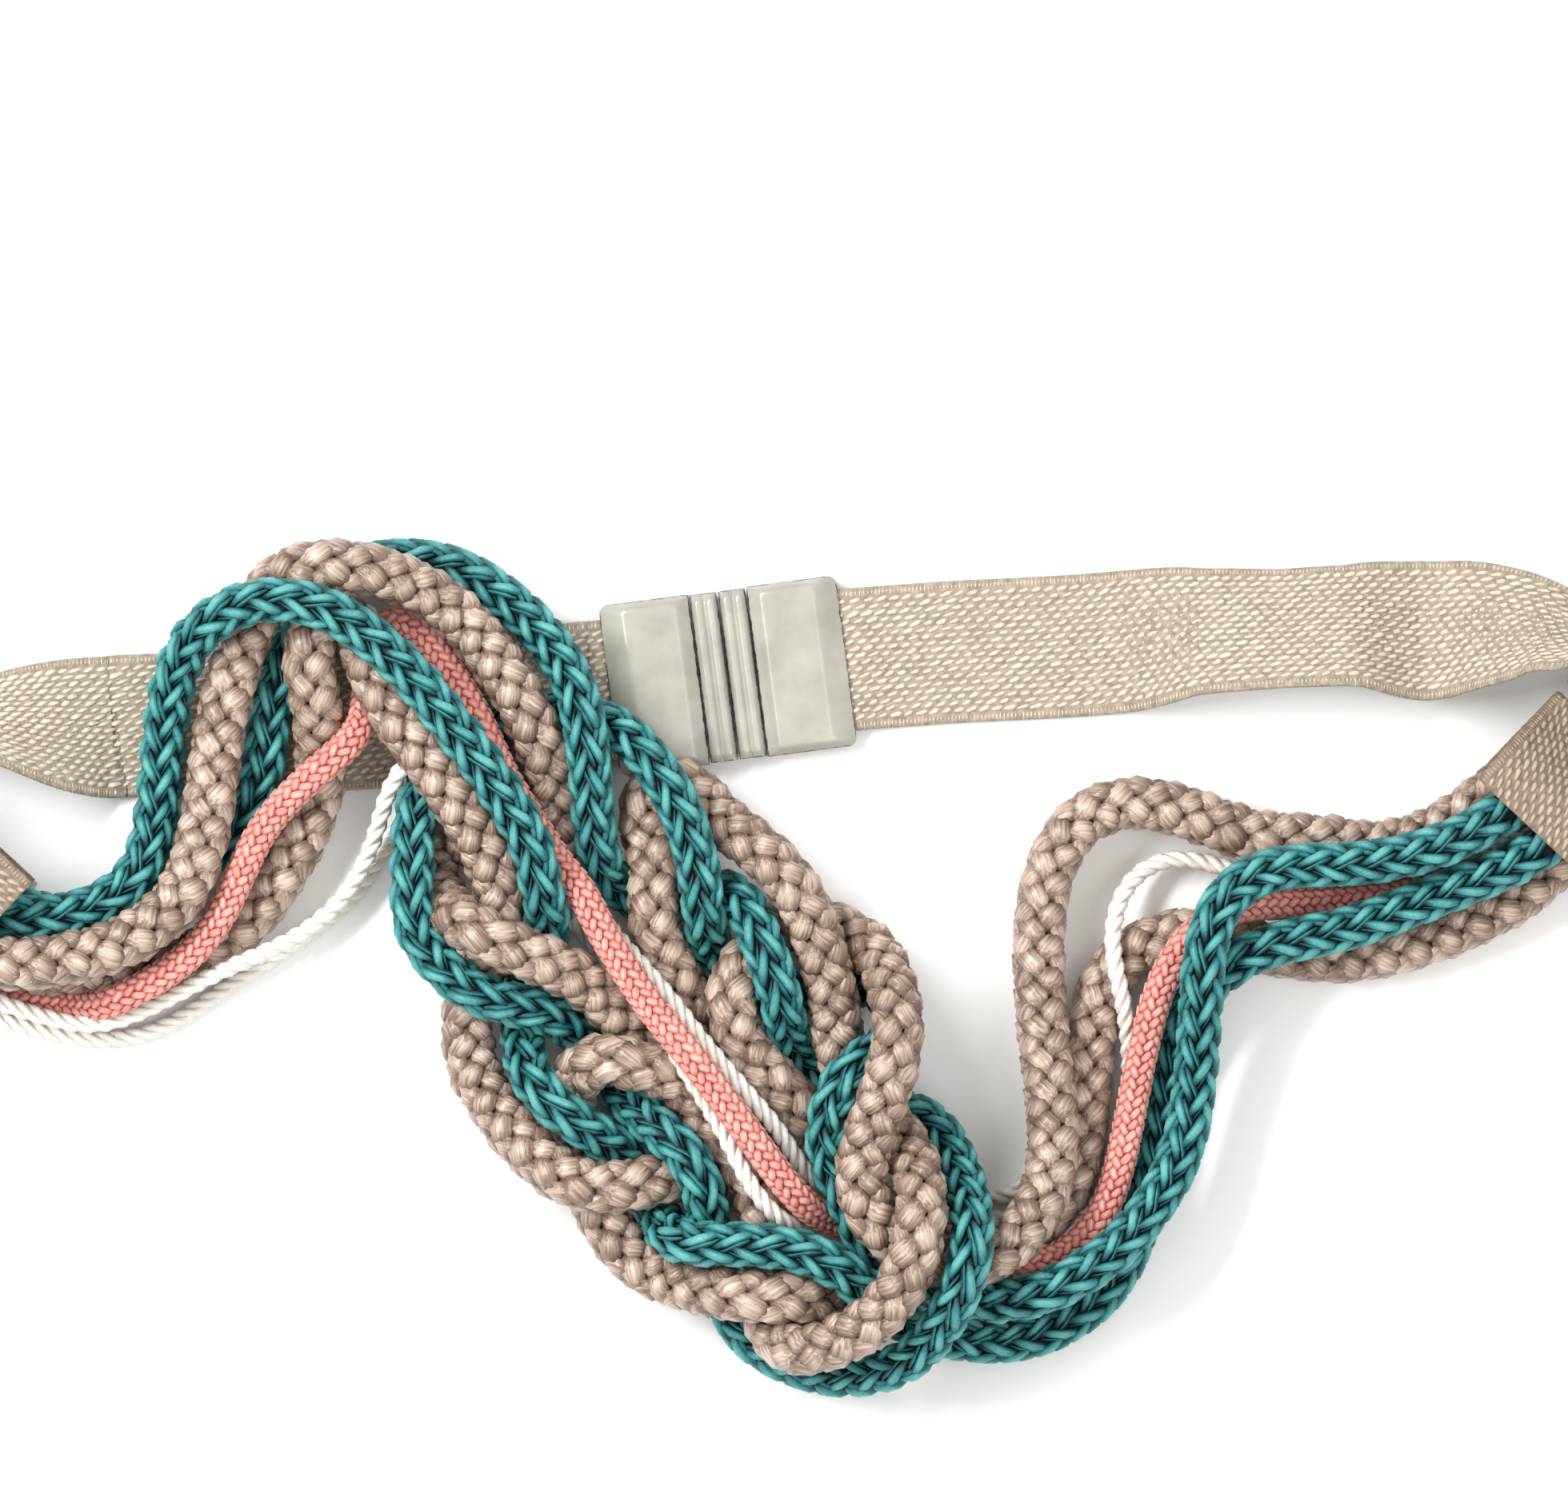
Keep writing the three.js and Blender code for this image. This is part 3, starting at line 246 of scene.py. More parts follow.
LEFT_STRAP = [
    (-0.0177, -0.0023, 0.0024, 0), (-0.0235, -0.0029, 0.0022, 0), (-0.03, -0.0035, 0.0012, 0),
    (-0.065, -0.0076, 0.0011, 0), (-0.104, -0.0088, 0.0011, 0), (-0.111, -0.0092, 0.0019, -4),
    (-0.12, -0.009, 0.0067, -27), (-0.13, -0.0084, 0.0105, -51), (-0.141, -0.0082, 0.0123, -72),
    (-0.152, -0.0084, 0.0128, -86), (-0.158, -0.0108, 0.0128, -90), (-0.1602, -0.0163, 0.0128, -94),
    (-0.1574, -0.0223, 0.0126, -108), (-0.1532, -0.0263, 0.0124, -140), (-0.1503, -0.029, 0.0123, -168),
]

# Where the left strap lies flat under the cords: its lean in plan, its lowest y and where it ends.
FLAT_RUN = {"slope": 0.105, "lowest_y": -0.009, "end_x": -0.112}

# Steps along the middle lines of straps, tabs and cords, and how often a cord's wander changes.
STRAP_STATIONS = 177
TAB_STATIONS = 40
TAB_STEP = 0.5 * MM
CORD_STEP = 1 * MM
WANDER_STEPS = 30
CORD_SMOOTHING, SIDE_SMOOTHING = 6, 8


# Routes and resting places.


def catmull_rom(points, t):
    """Points of a Catmull-Rom curve at shares t of its span."""
    p = np.asarray(points, float)
    last = len(p) - 1
    along = np.clip(np.asarray(t, float) * last, 0, last)
    i = np.minimum(along.astype(int), last - 1)
    w = (along - i)[:, None]
    before = np.vstack([2 * p[0] - p[1], p[:-1]])[i]
    after = np.vstack([p[1:], 2 * p[-1] - p[-2]])[i + 1]
    start, end = p[i], p[i + 1]
    t0 = 0.5 * (end - before)
    t1 = 0.5 * (after - start)
    square = -3 * start + 3 * end - 2 * t0 - t1
    cube = 2 * start - 2 * end + t0 + t1
    return start + t0 * w + square * w**2 + cube * w**3


def spaced_points(points, spacing):
    """Points about a spacing apart along the curve through some points."""
    divisions = FINE_STEPS * len(points)
    shares = np.arange(divisions + 1) / divisions
    fine = catmull_rom(points, shares)
    reach = np.concatenate([[0], np.cumsum(np.linalg.norm(np.diff(fine, axis=0), axis=1))])
    steps = int(math.floor(reach[-1] / spacing + 0.5))
    at = np.interp(np.arange(steps + 1) / steps * reach[-1], reach, shares)
    return catmull_rom(points, at)


def mouth_point(mouth, across, height, inside):
    """A point of a tab mouth: across its edge, height, and how far inside the tab."""
    lead = math.radians(mouth["heading"])
    side = mouth["side"]
    x = mouth["x"] + inside * math.cos(lead) - side * across * math.sin(lead)
    y = mouth["y"] + inside * math.sin(lead) + side * across * math.cos(lead)
    return (x, y, height)


def ground_under(x, y, radius):
    """Height of what lies under a cord: the left strap, the clasp or the bare table."""
    cos, sin = math.cos(CLASP_ANGLE), math.sin(CLASP_ANGLE)
    u, v = x * cos + y * sin, y * cos - x * sin
    reach = PLATE_WIDTH + BAR_WIDTH + 2 * CLEARANCE + radius
    if abs(u) < reach and abs(v) < CLASP_DEPTH / 2 + radius:
        return CLASP_HEIGHT + CLEARANCE
    start_x, start_y = LEFT_STRAP[0][:2]
    middle = max(start_y + (x - start_x) * FLAT_RUN["slope"], FLAT_RUN["lowest_y"])
    over_strap = FLAT_RUN["end_x"] < x < 0 and abs(y - middle) < STRAP_WIDTH / 2 + STRAP_REACH * radius
    return STRAP_TOP + CLEARANCE if over_strap else 0.0


def route_stations(name, diameter):
    """The chosen route of a cord as evenly spaced stations, from inside one tab to inside the other."""
    layered = [(x, y, diameter / 2 + layer * LAYER) for x, y, layer in ROUTES[name]]
    ends = []
    for mouth, places in ((LEFT_MOUTH, LEFT_ENDS), (RIGHT_MOUTH, RIGHT_ENDS)):
        across, height = places[name]
        inner = mouth_point(mouth, across, height, TAB_GRIP)
        outer = mouth_point(mouth, across, height, -1 * MM)
        ends.append((inner, outer))
    return spaced_points([*ends[0], *layered, ends[1][1], ends[1][0]], STATION)


class Pile:
    """All the cords' stations in one list, settled together in the way that the solids are."""

    def __init__(self, cords):
        self.point, self.home, self.radius, self.pinned, self.cord = [], [], [], [], []
        for number, (stations, diameter) in enumerate(cords):
            last = len(stations) - 1
            for i, station in enumerate(stations):
                self.point.append([float(v) for v in station])
                self.home.append(tuple(float(v) for v in station))
                self.radius.append(diameter / 2)
                self.pinned.append(min(i, last - i) * STATION < PINNED_LENGTH)
                self.cord.append(number)

    def settle(self):
        pairs = []
        for turn in range(SETTLE_ROUNDS + PARTING_ROUNDS):
            if turn % PAIRING_ROUNDS == 0:
                pairs = self.near_pairs()
            parting = turn >= SETTLE_ROUNDS
            self.relax(**(LATE_PULL if parting else EARLY_PULL))
            self.part_pressed(pairs, 1 if parting else SIDE_PUSH)
        for _ in range(FAIRING_ROUNDS):
            self.relax(**FAIRING_PULL)

    def near_pairs(self):
        """Pairs of stations that may meet soon, as two lists of numbers and the room they need."""
        point, radius = np.array(self.point), np.array(self.radius)
        cord, place = np.array(self.cord), np.arange(len(radius))
        need = radius[:, None] + radius[None] + SETTLE_MARGIN
        apart = np.linalg.norm(point[:, None] - point[None], axis=2)
        near = (apart < need + NEAR_REACH) & (place[:, None] < place[None])
        run = (place[None] - place[:, None]) * STATION
        near &= (cord[:, None] != cord[None]) | (run >= OWN_GAP * need)
        one, two = np.nonzero(near)
        return one, two, need[one, two]

    def floor(self, k):
        point, radius = self.point[k], self.radius[k]
        point[2] = max(point[2], radius + ground_under(point[0], point[1], radius))

    def relax(self, sink, level, homing, smoothing):
        """One round of a cord's own pull: down, level with its neighbours, and home in plan."""
        for k, point in enumerate(self.point):
            if self.pinned[k]:
                continue
            before, after, home = self.point[k - 1], self.point[k + 1], self.home[k]
            point[2] -= sink
            point[2] += level * ((before[2] + after[2]) / 2 - point[2])
            for axis in (0, 1):
                middle = (before[axis] + after[axis]) / 2
                point[axis] += homing * (home[axis] - point[axis]) + smoothing * (middle - point[axis])
            self.floor(k)

    def part_pressed(self, pairs, side_push):
        one, two, need = pairs
        point = np.array(self.point)
        apart = np.linalg.norm(point[one] - point[two], axis=1)
        for k in np.nonzero(apart < need + TOUCH_REACH)[0]:
            self.part(int(one[k]), int(two[k]), float(need[k]), side_push)

    def part(self, one, two, need, side_push):
        """Pushes two stations apart; where one lies clearly above the other, mostly up and down."""
        a, b = self.point[one], self.point[two]
        x, y, z = a[0] - b[0], a[1] - b[1], a[2] - b[2]
        if x * x + y * y + z * z >= need * need:
            return
        order = self.home[one][2] - self.home[two][2]
        if abs(order) > CLEAR_ORDER:
            z = math.copysign(max(abs(z), CLEAR_RISE * need), order)
        apart = math.sqrt(x * x + y * y + z * z)
        push = (need - min(apart, need * MOST_APART)) / 2 / apart
        for k, way in ((one, 1), (two, -1)):
            if self.pinned[k]:
                continue
            point = self.point[k]
            point[0] += way * side_push * push * x
            point[1] += way * side_push * push * y
            point[2] += way * push * z
            self.floor(k)


def cord_kind(name):
    return name.split("_")[0]


def resting_cords():
    """Where each cord's middle line rests, by name."""
    names = list(ROUTES)
    routes = [route_stations(name, DIAMETERS[cord_kind(name)]) for name in names]
    pile = Pile([(route, DIAMETERS[cord_kind(name)]) for name, route in zip(names, routes)])
    pile.settle()
    rest, at = {}, 0
    for name, route in zip(names, routes):
        rest[name] = np.array(pile.point[at:at + len(route)])
        at += len(route)
    return rest


def smoothed(rows, rounds):
    rows = np.array(rows, float)
    for _ in range(rounds):
        rows[1:-1] = rows[1:-1] / 2 + (rows[:-2] + rows[2:]) / 4
    return rows


def unit(rows):
    return rows / np.maximum(np.linalg.norm(rows, axis=-1, keepdims=True), 1e-12)


def run_along(points):
    """Distance from the start to each point."""
    return np.concatenate([[0], np.cumsum(np.linalg.norm(np.diff(points, axis=0), axis=1))])


def cord_spine(points, wander, seed):
    """A cord's fine middle line, its tangents, and its upper side, turned a little to and fro."""
    path = smoothed(spaced_points(points, CORD_STEP), CORD_SMOOTHING)
    tangents = unit(np.gradient(path, axis=0))
    side = UP - tangents * (tangents @ UP)[:, None]
    side = unit(smoothed(side, SIDE_SMOOTHING))
    side = unit(side - tangents * np.sum(side * tangents, axis=1)[:, None])
    rng = np.random.default_rng(seed)
    knots = smoothed(rng.uniform(-1, 1, len(path) // WANDER_STEPS + 3) * wander, 1)
    turn = np.interp(np.arange(len(path)) / WANDER_STEPS, np.arange(len(knots)), knots)[:, None]
    return path, tangents, side * np.cos(turn) + np.cross(tangents, side) * np.sin(turn)


def strap_spine(rows):
    """The middle line of a strap and the direction across its width, from rows of x, y, z and bank."""
    rows = np.array(rows, float)
    path = catmull_rom(rows[:, :3], np.linspace(0, 1, STRAP_STATIONS))
    places = np.linspace(0, len(rows) - 1, STRAP_STATIONS)
    bank = np.interp(places, np.arange(len(rows)), np.radians(rows[:, 3]))
    tangents = unit(np.gradient(path, axis=0))
    left = unit(np.cross(UP, tangents))
    cos, sin = np.cos(-bank)[:, None], np.sin(-bank)[:, None]
    return path, left * cos + np.cross(tangents, left) * sin


def tab_spine(mouth):
    """The middle line of a tab's wall, from its upper edge round its closed end to its lower edge."""
    runs = np.linspace(0, TAB_LENGTH - STRAP_THICKNESS / 2, TAB_STATIONS)
    opened = np.maximum(0, runs - TAB_GRIP) / (TAB_LENGTH - TAB_GRIP)
    half = TAB_MOUTH / 2 * (1 + np.cos(math.pi * opened)) / 2 + STRAP_THICKNESS / 2
    middle = TAB_MOUTH / 2 + STRAP_THICKNESS
    lead = math.radians(mouth["heading"])
    runs = np.concatenate([runs, runs[::-1]])
    heights = np.concatenate([middle + half, (middle - half)[::-1]])
    path = np.stack([mouth["x"] + runs * math.cos(lead), mouth["y"] + runs * math.sin(lead), heights], axis=1)
    path = spaced_points(path[::3], TAB_STEP)
    across = np.tile([-math.sin(lead), math.cos(lead), 0], (len(path), 1))
    return path, across


# Meshes.


def add_object(name, mesh, *materials):
    for material in materials:
        mesh.materials.append(material)
    obj = bpy.data.objects.new(name, mesh)
    bpy.context.scene.collection.objects.link(obj)
    return obj


def grid_faces(rings, sides):
    """Quads between rings of a tube, and the fans that close its ends onto its last two vertices."""
    faces = []
    for i in range(rings - 1):
        for j in range(sides):
            a, b = i * sides + j, i * sides + (j + 1) % sides
            faces.append((a, b, b + sides, a + sides))
    start, end = rings * sides, rings * sides + 1
    for j in range(sides):
        k = (j + 1) % sides
        faces.append((start, k, j))
        faces.append((end, end - 1 - sides + j, end - 1 - sides + k))
    return faces


def tube_mesh(name, path, across, radius, sides):
    """A closed round tube along a path."""
    tangents = unit(np.gradient(path, axis=0))
    side = unit(across - tangents * np.sum(across * tangents, axis=1)[:, None])
    up = np.cross(tangents, side)
    turn = np.arange(sides) / sides * 2 * math.pi
    cos, sin = np.cos(turn)[:, None], np.sin(turn)[:, None]
    ring = path[:, None] + radius * (side[:, None] * cos + up[:, None] * sin)
    verts = np.concatenate([ring.reshape(-1, 3), path[:1], path[-1:]])
    mesh = bpy.data.meshes.new(name)
    mesh.from_pydata(verts.tolist(), [], grid_faces(len(path), sides))
    mesh.shade_smooth()
    return mesh


def strand_mesh(name, size, dive, tilt, head, taper, rings, sides):
    """One strand of a braid along x: widest near its head, its ends tucked under the next ones."""
    length, width, height = size
    verts = []
    for i in range(rings):
        t = (i + 0.5) / rings
        t = 0.5 - 0.5 * math.cos(math.pi * t)
        fat = math.sin(math.pi * t**head) ** taper
        middle = -dive * abs(2 * t - 1) ** 3 + tilt * (t - 0.5)
        for j in range(sides):
            turn = 2 * math.pi * j / sides
            y = fat * width / 2 * math.cos(turn)
            verts.append((length * (t - 0.5), y, middle + fat * height / 2 * math.sin(turn)))
    verts.append((-length / 2, 0, -dive - tilt / 2))
    verts.append((length / 2, 0, -dive + tilt / 2))
    mesh = bpy.data.meshes.new(name)
    mesh.from_pydata(verts, [], grid_faces(rings, sides))
    own = mesh.attributes.new("strand", "FLOAT_VECTOR", "POINT")
    own.data.foreach_set("vector", np.array(verts, np.float32).ravel())
    mesh.shade_smooth()
    return mesh


def spine_mesh(name, path, across):
    """A line of vertices that store the direction across the form bent along it."""
    mesh = bpy.data.meshes.new(name)
    mesh.from_pydata([tuple(p) for p in path.tolist()], [(i, i + 1) for i in range(len(path) - 1)], [])
    stored = mesh.attributes.new("across", "FLOAT_VECTOR", "POINT")
    stored.data.foreach_set("vector", np.asarray(across, np.float32).ravel())
    return mesh


# Wiring of geometry and shader nodes.


def port(sockets, key):
    if isinstance(key, int):
        return sockets[key]
    return next(s for s in sockets if s.name == key and s.enabled)


class Wiring:
    """Adds linked nodes to a tree, a line for each."""

    def __init__(self, tree):
        self.tree = tree

    def link(self, output, socket):
        self.tree.links.new(output, socket)

    def node(self, kind, values=None, **settings):
        made = self.tree.nodes.new(kind)
        for name, value in settings.items():
            setattr(made, name, value)
        for key, value in (values or {}).items():
            socket = port(made.inputs, key)
            if isinstance(value, bpy.types.NodeSocket):
                self.link(value, socket)
            else:
                socket.default_value = value
        return made

    def math(self, operation, *values):
        return self.node("ShaderNodeMath", dict(enumerate(values)), operation=operation).outputs[0]

    def plus(self, one, two):
        return self.math("ADD", one, two)

    def minus(self, one, two):
        return self.math("SUBTRACT", one, two)

    def times(self, one, two):
        return self.math("MULTIPLY", one, two)

    def over(self, one, two):
        return self.math("DIVIDE", one, two)

    def group_of(self, index, size):
        """Which group a counted place falls in, for groups of a size."""
        return self.math("FLOOR", self.over(self.plus(index, 0.5), size))

    def vector(self, operation, *values):
        return self.node("ShaderNodeVectorMath", dict(enumerate(values)), operation=operation).outputs[0]

    def scaled(self, vector, scale):
        return self.node("ShaderNodeVectorMath", {0: vector, "Scale": scale}, operation="SCALE").outputs[0]

    def combined(self, *values):
        return self.node("ShaderNodeCombineXYZ", dict(enumerate(values))).outputs[0]

    def parts(self, vector):
        return self.node("ShaderNodeSeparateXYZ", {0: vector}).outputs

    def random(self, low, high, seed):
        limits = {"Min": low, "Max": high, "Seed": seed}
        return port(self.node("FunctionNodeRandomValue", limits, data_type="FLOAT").outputs, "Value")

    def painted(self, geometry, material):
        made = self.node("GeometryNodeSetMaterial", {"Geometry": geometry, "Material": material})
        return made.outputs[0]

    def curve_through(self, mesh):
        """A spine mesh as a curve, and the curve's length."""
        curve = self.node("GeometryNodeMeshToCurve", {"Mesh": mesh}).outputs[0]
        return curve, self.node("GeometryNodeCurveLength", {"Curve": curve}).outputs[0]

    def bent(self, geometry, curve, girth_radius=None, radius=None):
        """Lays a straight form, x along and z out, on a curve: flat, or wrapped round it at a radius."""
        at = self.parts(self.node("GeometryNodeInputPosition").outputs[0])
        stored = self.node("GeometryNodeInputNamedAttribute", {"Name": "across"}, data_type="FLOAT_VECTOR")
        across = port(stored.outputs, "Attribute")
        sample = self.node("GeometryNodeSampleCurve", {"Curves": curve, "Value": across, "Length": at[0]},
                           mode="LENGTH", data_type="FLOAT_VECTOR").outputs
        side = self.vector("NORMALIZE", port(sample, "Value"))
        up = self.vector("CROSS_PRODUCT", port(sample, "Tangent"), side)
        along_side, along_up = at[1], at[2]
        if radius is not None:
            turn = self.over(at[1], girth_radius)
            reach = self.plus(at[2], radius)
            along_side = self.times(self.math("COSINE", turn), reach)
            along_up = self.times(self.math("SINE", turn), reach)
        offset = self.vector("ADD", self.scaled(side, along_side), self.scaled(up, along_up))
        spot = self.vector("ADD", port(sample, "Position"), offset)
        return self.node("GeometryNodeSetPosition", {"Geometry": geometry, "Position": spot}).outputs[0]


SOCKETS = {float: "NodeSocketFloat", int: "NodeSocketInt", bpy.types.Object: "NodeSocketObject",
           bpy.types.Material: "NodeSocketMaterial"}


def geometry_tree(name, **kinds):
    """An empty geometry tree with named inputs: its wiring, those inputs and its output node."""
    tree = bpy.data.node_groups.new(name, "GeometryNodeTree")
    tree.interface.new_socket("Geometry", in_out="INPUT", socket_type="NodeSocketGeometry")
    for label, kind in kinds.items():
        tree.interface.new_socket(label.replace("_", " "), in_out="INPUT", socket_type=SOCKETS[kind])
    tree.interface.new_socket("Geometry", in_out="OUTPUT", socket_type="NodeSocketGeometry")
    source = tree.nodes.new("NodeGroupInput").outputs
    return Wiring(tree), source, tree.nodes.new("NodeGroupOutput")


# Turn of a strand in radians for one unit of variation, the core's sides and steps, and random seeds.
STRAND_JITTER = 0.6
CORE_SIDES = 10
CORE_STEP = 2.5 * MM
OUTER_SEED, UNDER_SEED, KNIT_SEED = 11, 17, 23


def strands_on_grid(wiring, points, strand, lean, flips, variation, seed):
    """Puts a strand on each point, leaning by turns to either side, each a little different."""
    shade = wiring.node("GeometryNodeStoreNamedAttribute",
                        {"Geometry": points, "Name": "shade", "Value": wiring.random(0.0, 1.0, seed)},
                        data_type="FLOAT", domain="POINT").outputs[0]
    shape = wiring.node("GeometryNodeObjectInfo", {"Object": strand}).outputs["Geometry"]
    jitter = wiring.times(wiring.random(-STRAND_JITTER, STRAND_JITTER, seed + 1), variation)
    angle = wiring.plus(wiring.times(lean, flips), jitter)
    turn = wiring.node("FunctionNodeEulerToRotation", {0: wiring.combined(0.0, 0.0, angle)}).outputs[0]
    swings = [wiring.times(wiring.random(-1.0, 1.0, seed + k), variation) for k in (2, 3)]
    length, girth = (wiring.plus(1.0, swing) for swing in swings)
    scale = wiring.combined(length, girth, girth)
    placed = wiring.node("GeometryNodeInstanceOnPoints",
                         {"Points": shade, "Instance": shape, "Rotation": turn, "Scale": scale}).outputs[0]
    return wiring.node("GeometryNodeRealizeInstances", {"Geometry": placed}).outputs[0]


def braid_tree():
    """Columns of strands round a core along a spine, neighbours leaning opposite ways half a step apart.

    Between them a lower layer of thinner strands shows in the gaps.
    """
    wiring, source, end = geometry_tree(
        "Braid along a spine", Strand=bpy.types.Object, Under_strand=bpy.types.Object, Columns=int,
        Pitch=float, Surface_radius=float, Under_radius=float, Core_radius=float, Lean=float,
        Variation=float, Strand_finish=bpy.types.Material, Under_finish=bpy.types.Material,
        Core_finish=bpy.types.Material)
    curve, length = wiring.curve_through(source["Geometry"])
    rows = wiring.math("FLOOR", wiring.over(length, source["Pitch"]))
    count = wiring.times(rows, source["Columns"])
    index = wiring.node("GeometryNodeInputIndex").outputs[0]
    column = wiring.math("MODULO", index, source["Columns"])
    odd = wiring.math("MODULO", column, 2.0)
    step = wiring.plus(wiring.group_of(index, source["Columns"]), wiring.plus(wiring.times(odd, 0.5), 0.25))
    along = wiring.times(step, source["Pitch"])
    girth = wiring.times(source["Surface radius"], 2 * math.pi)
    flips = wiring.minus(1.0, wiring.times(odd, 2.0))
    joined = wiring.node("GeometryNodeJoinGeometry")
    # The under strands and the core take darker finishes: painted shade between the strands.
    layers = (("Strand", "Surface radius", "Strand finish", 0.5, OUTER_SEED),
              ("Under strand", "Under radius", "Under finish", 1.0, UNDER_SEED))
    for label, radius, finish, shift, seed in layers:
        share = wiring.over(wiring.plus(column, shift), source["Columns"])
        spot = wiring.combined(along, wiring.times(share, girth), 0.0)
        points = wiring.node("GeometryNodePoints", {"Count": count, "Position": spot}).outputs[0]
        strands = strands_on_grid(wiring, points, source[label], source["Lean"], flips,
                                  source["Variation"], seed)
        strands = wiring.bent(strands, curve, source["Surface radius"], source[radius])
        wiring.link(wiring.painted(strands, source[finish]), joined.inputs[0])
    ring = wiring.node("GeometryNodeCurvePrimitiveCircle",
                       {"Resolution": CORE_SIDES, "Radius": source["Core radius"]}).outputs[0]
    core = wiring.node("GeometryNodeResampleCurve", {"Curve": curve, "Length": CORE_STEP}, mode="LENGTH")
    core = wiring.node("GeometryNodeCurveToMesh",
                       {"Curve": core.outputs[0], "Profile Curve": ring, "Fill Caps": True}).outputs[0]
    wiring.link(wiring.painted(core, source["Core finish"]), joined.inputs[0])
    whole = wiring.node("GeometryNodeRealizeInstances", {"Geometry": joined.outputs[0]}).outputs[0]
    wiring.link(whole, end.inputs[0])
    return wiring.tree


def knit_tree():
    """Staggered rows of stitches on both faces of a band along a spine."""
    wiring, source, end = geometry_tree(
        "Stitches on a band", Strand=bpy.types.Object, Rows=int, Row_pitch=float, Stitch_pitch=float,
        Stagger=float, Offset=float, Height=float, Lean=float, Variation=float,
        Strand_finish=bpy.types.Material)
    curve, length = wiring.curve_through(source["Geometry"])
    steps = wiring.math("FLOOR", wiring.over(length, source["Stitch pitch"]))
    both = wiring.times(source["Rows"], 2.0)
    index = wiring.node("GeometryNodeInputIndex").outputs[0]
    place = wiring.math("MODULO", index, both)
    row = wiring.group_of(place, 2.0)
    face = wiring.minus(1.0, wiring.times(wiring.math("MODULO", place, 2.0), 2.0))
    stagger = wiring.math("FRACT", wiring.times(row, source["Stagger"]))
    along = wiring.times(wiring.plus(wiring.group_of(index, both), stagger), source["Stitch pitch"])
    middle = wiring.times(wiring.minus(source["Rows"], 1.0), 0.5)
    sideways = wiring.plus(wiring.times(wiring.minus(row, middle), source["Row pitch"]), source["Offset"])
    spot = wiring.combined(along, sideways, wiring.times(face, source["Height"]))
    count = wiring.times(steps, both)
    points = wiring.node("GeometryNodePoints", {"Count": count, "Position": spot}).outputs[0]
    stitches = strands_on_grid(wiring, points, source["Strand"], source["Lean"], 1.0,
                               source["Variation"], KNIT_SEED)
    wiring.link(wiring.painted(wiring.bent(stitches, curve), source["Strand finish"]), end.inputs[0])
    return wiring.tree


def grown(name, spine, tree, **inputs):
    """The plain mesh that a tree makes of a spine."""
    base = add_object("spine", spine)
    modifier = base.modifiers.new("grow", "NODES")
    modifier.node_group = tree
    for item in tree.interface.items_tree:
        key = item.name.replace(" ", "_")
        if item.in_out == "INPUT" and key in inputs:
            modifier[item.identifier] = inputs[key]
    graph = bpy.context.evaluated_depsgraph_get()
    mesh = bpy.data.meshes.new_from_object(base.evaluated_get(graph))
    mesh.name = name
    bpy.data.objects.remove(base)
    bpy.data.meshes.remove(spine)
    mesh.shade_smooth()
    if "across" in mesh.attributes:
        mesh.attributes.remove(mesh.attributes["across"])
    return add_object(name, mesh)


# Finishes.


# Yarns by name: display colours of the painted shade in the hollows, of the body and of the painted light,
# noise per metre along, across and out of a strand, how much it shows, the strand's length and depth, and the
# painted highlight across its middle.
YARNS = {
    "teal_yarn": dict(
        shades=((6, 48, 54), (44, 124, 126), (104, 184, 178)), fibres=(1800.0, 2600.0, 2600.0), contrast=0.5,
        length=8.8 * MM, depth=0.9 * MM, band=0.15, roughness=0.5, bump=0.5, sheen=0.2, specular=0.45),
    # The under strands' yarn is a darker copy of the teal yarn: painted shade in the gaps.
    "teal_under_yarn": dict(
        shades=((4, 34, 40), (30, 98, 102), (62, 140, 140)), fibres=(1800.0, 2600.0, 2600.0), contrast=0.5,
        length=7.8 * MM, depth=0.5 * MM, band=0.0, roughness=0.55, bump=0.5, sheen=0.2, specular=0.4),
    "taupe_satin": dict(
        shades=((50, 34, 26), (132, 108, 94), (222, 200, 184)), fibres=(130.0, 2600.0, 2600.0), contrast=1.1,
        length=9.2 * MM, depth=2.1 * MM, band=0.36, roughness=0.3, bump=0.8, sheen=0.05, specular=0.7),
    "pink_yarn": dict(
        shades=((150, 70, 66), (226, 142, 134), (246, 196, 184)), fibres=(700.0, 3200.0, 3200.0),
        contrast=0.7, length=3.6 * MM, depth=0.5 * MM, band=0.1, roughness=0.8, bump=0.8, sheen=0.5,
        specular=0.2),
    "elastic_knit": dict(
        shades=((146, 130, 110), (204, 193, 178), (232, 223, 210)), fibres=(900.0, 2800.0, 2800.0),
        contrast=0.6, length=3.2 * MM, depth=0.4 * MM, band=0.0, roughness=0.75, bump=0.6, sheen=0.3,
        specular=0.25),
}
REVERSE_SHADES = ((120, 102, 84), (176, 160, 143), (200, 186, 170))
YARNS["elastic_reverse"] = {**YARNS["elastic_knit"], "shades": REVERSE_SHADES}

# Matt finishes by name: display colour, roughness, and how dark its mottle gets. The under and core finishes
# are darker copies of their cords' colours: painted shade in the gaps of the braids.
MATTS = {
    "taupe_under_satin": ((96, 70, 56), 0.9, 0.55),
    "pink_under_yarn": ((196, 108, 100), 0.9, 0.55),
    "teal_core": ((4, 26, 30), 0.9, 0.55),
    "taupe_core": ((64, 42, 34), 0.9, 0.55),
    "pink_core": ((190, 105, 98), 0.9, 0.55),
    "white_ply": ((252, 249, 242), 0.4, 0.93),
    "elastic_ground": ((178, 164, 146), 0.9, 0.75),
    "elastic_reverse_ground": ((150, 132, 114), 0.9, 0.75),
}

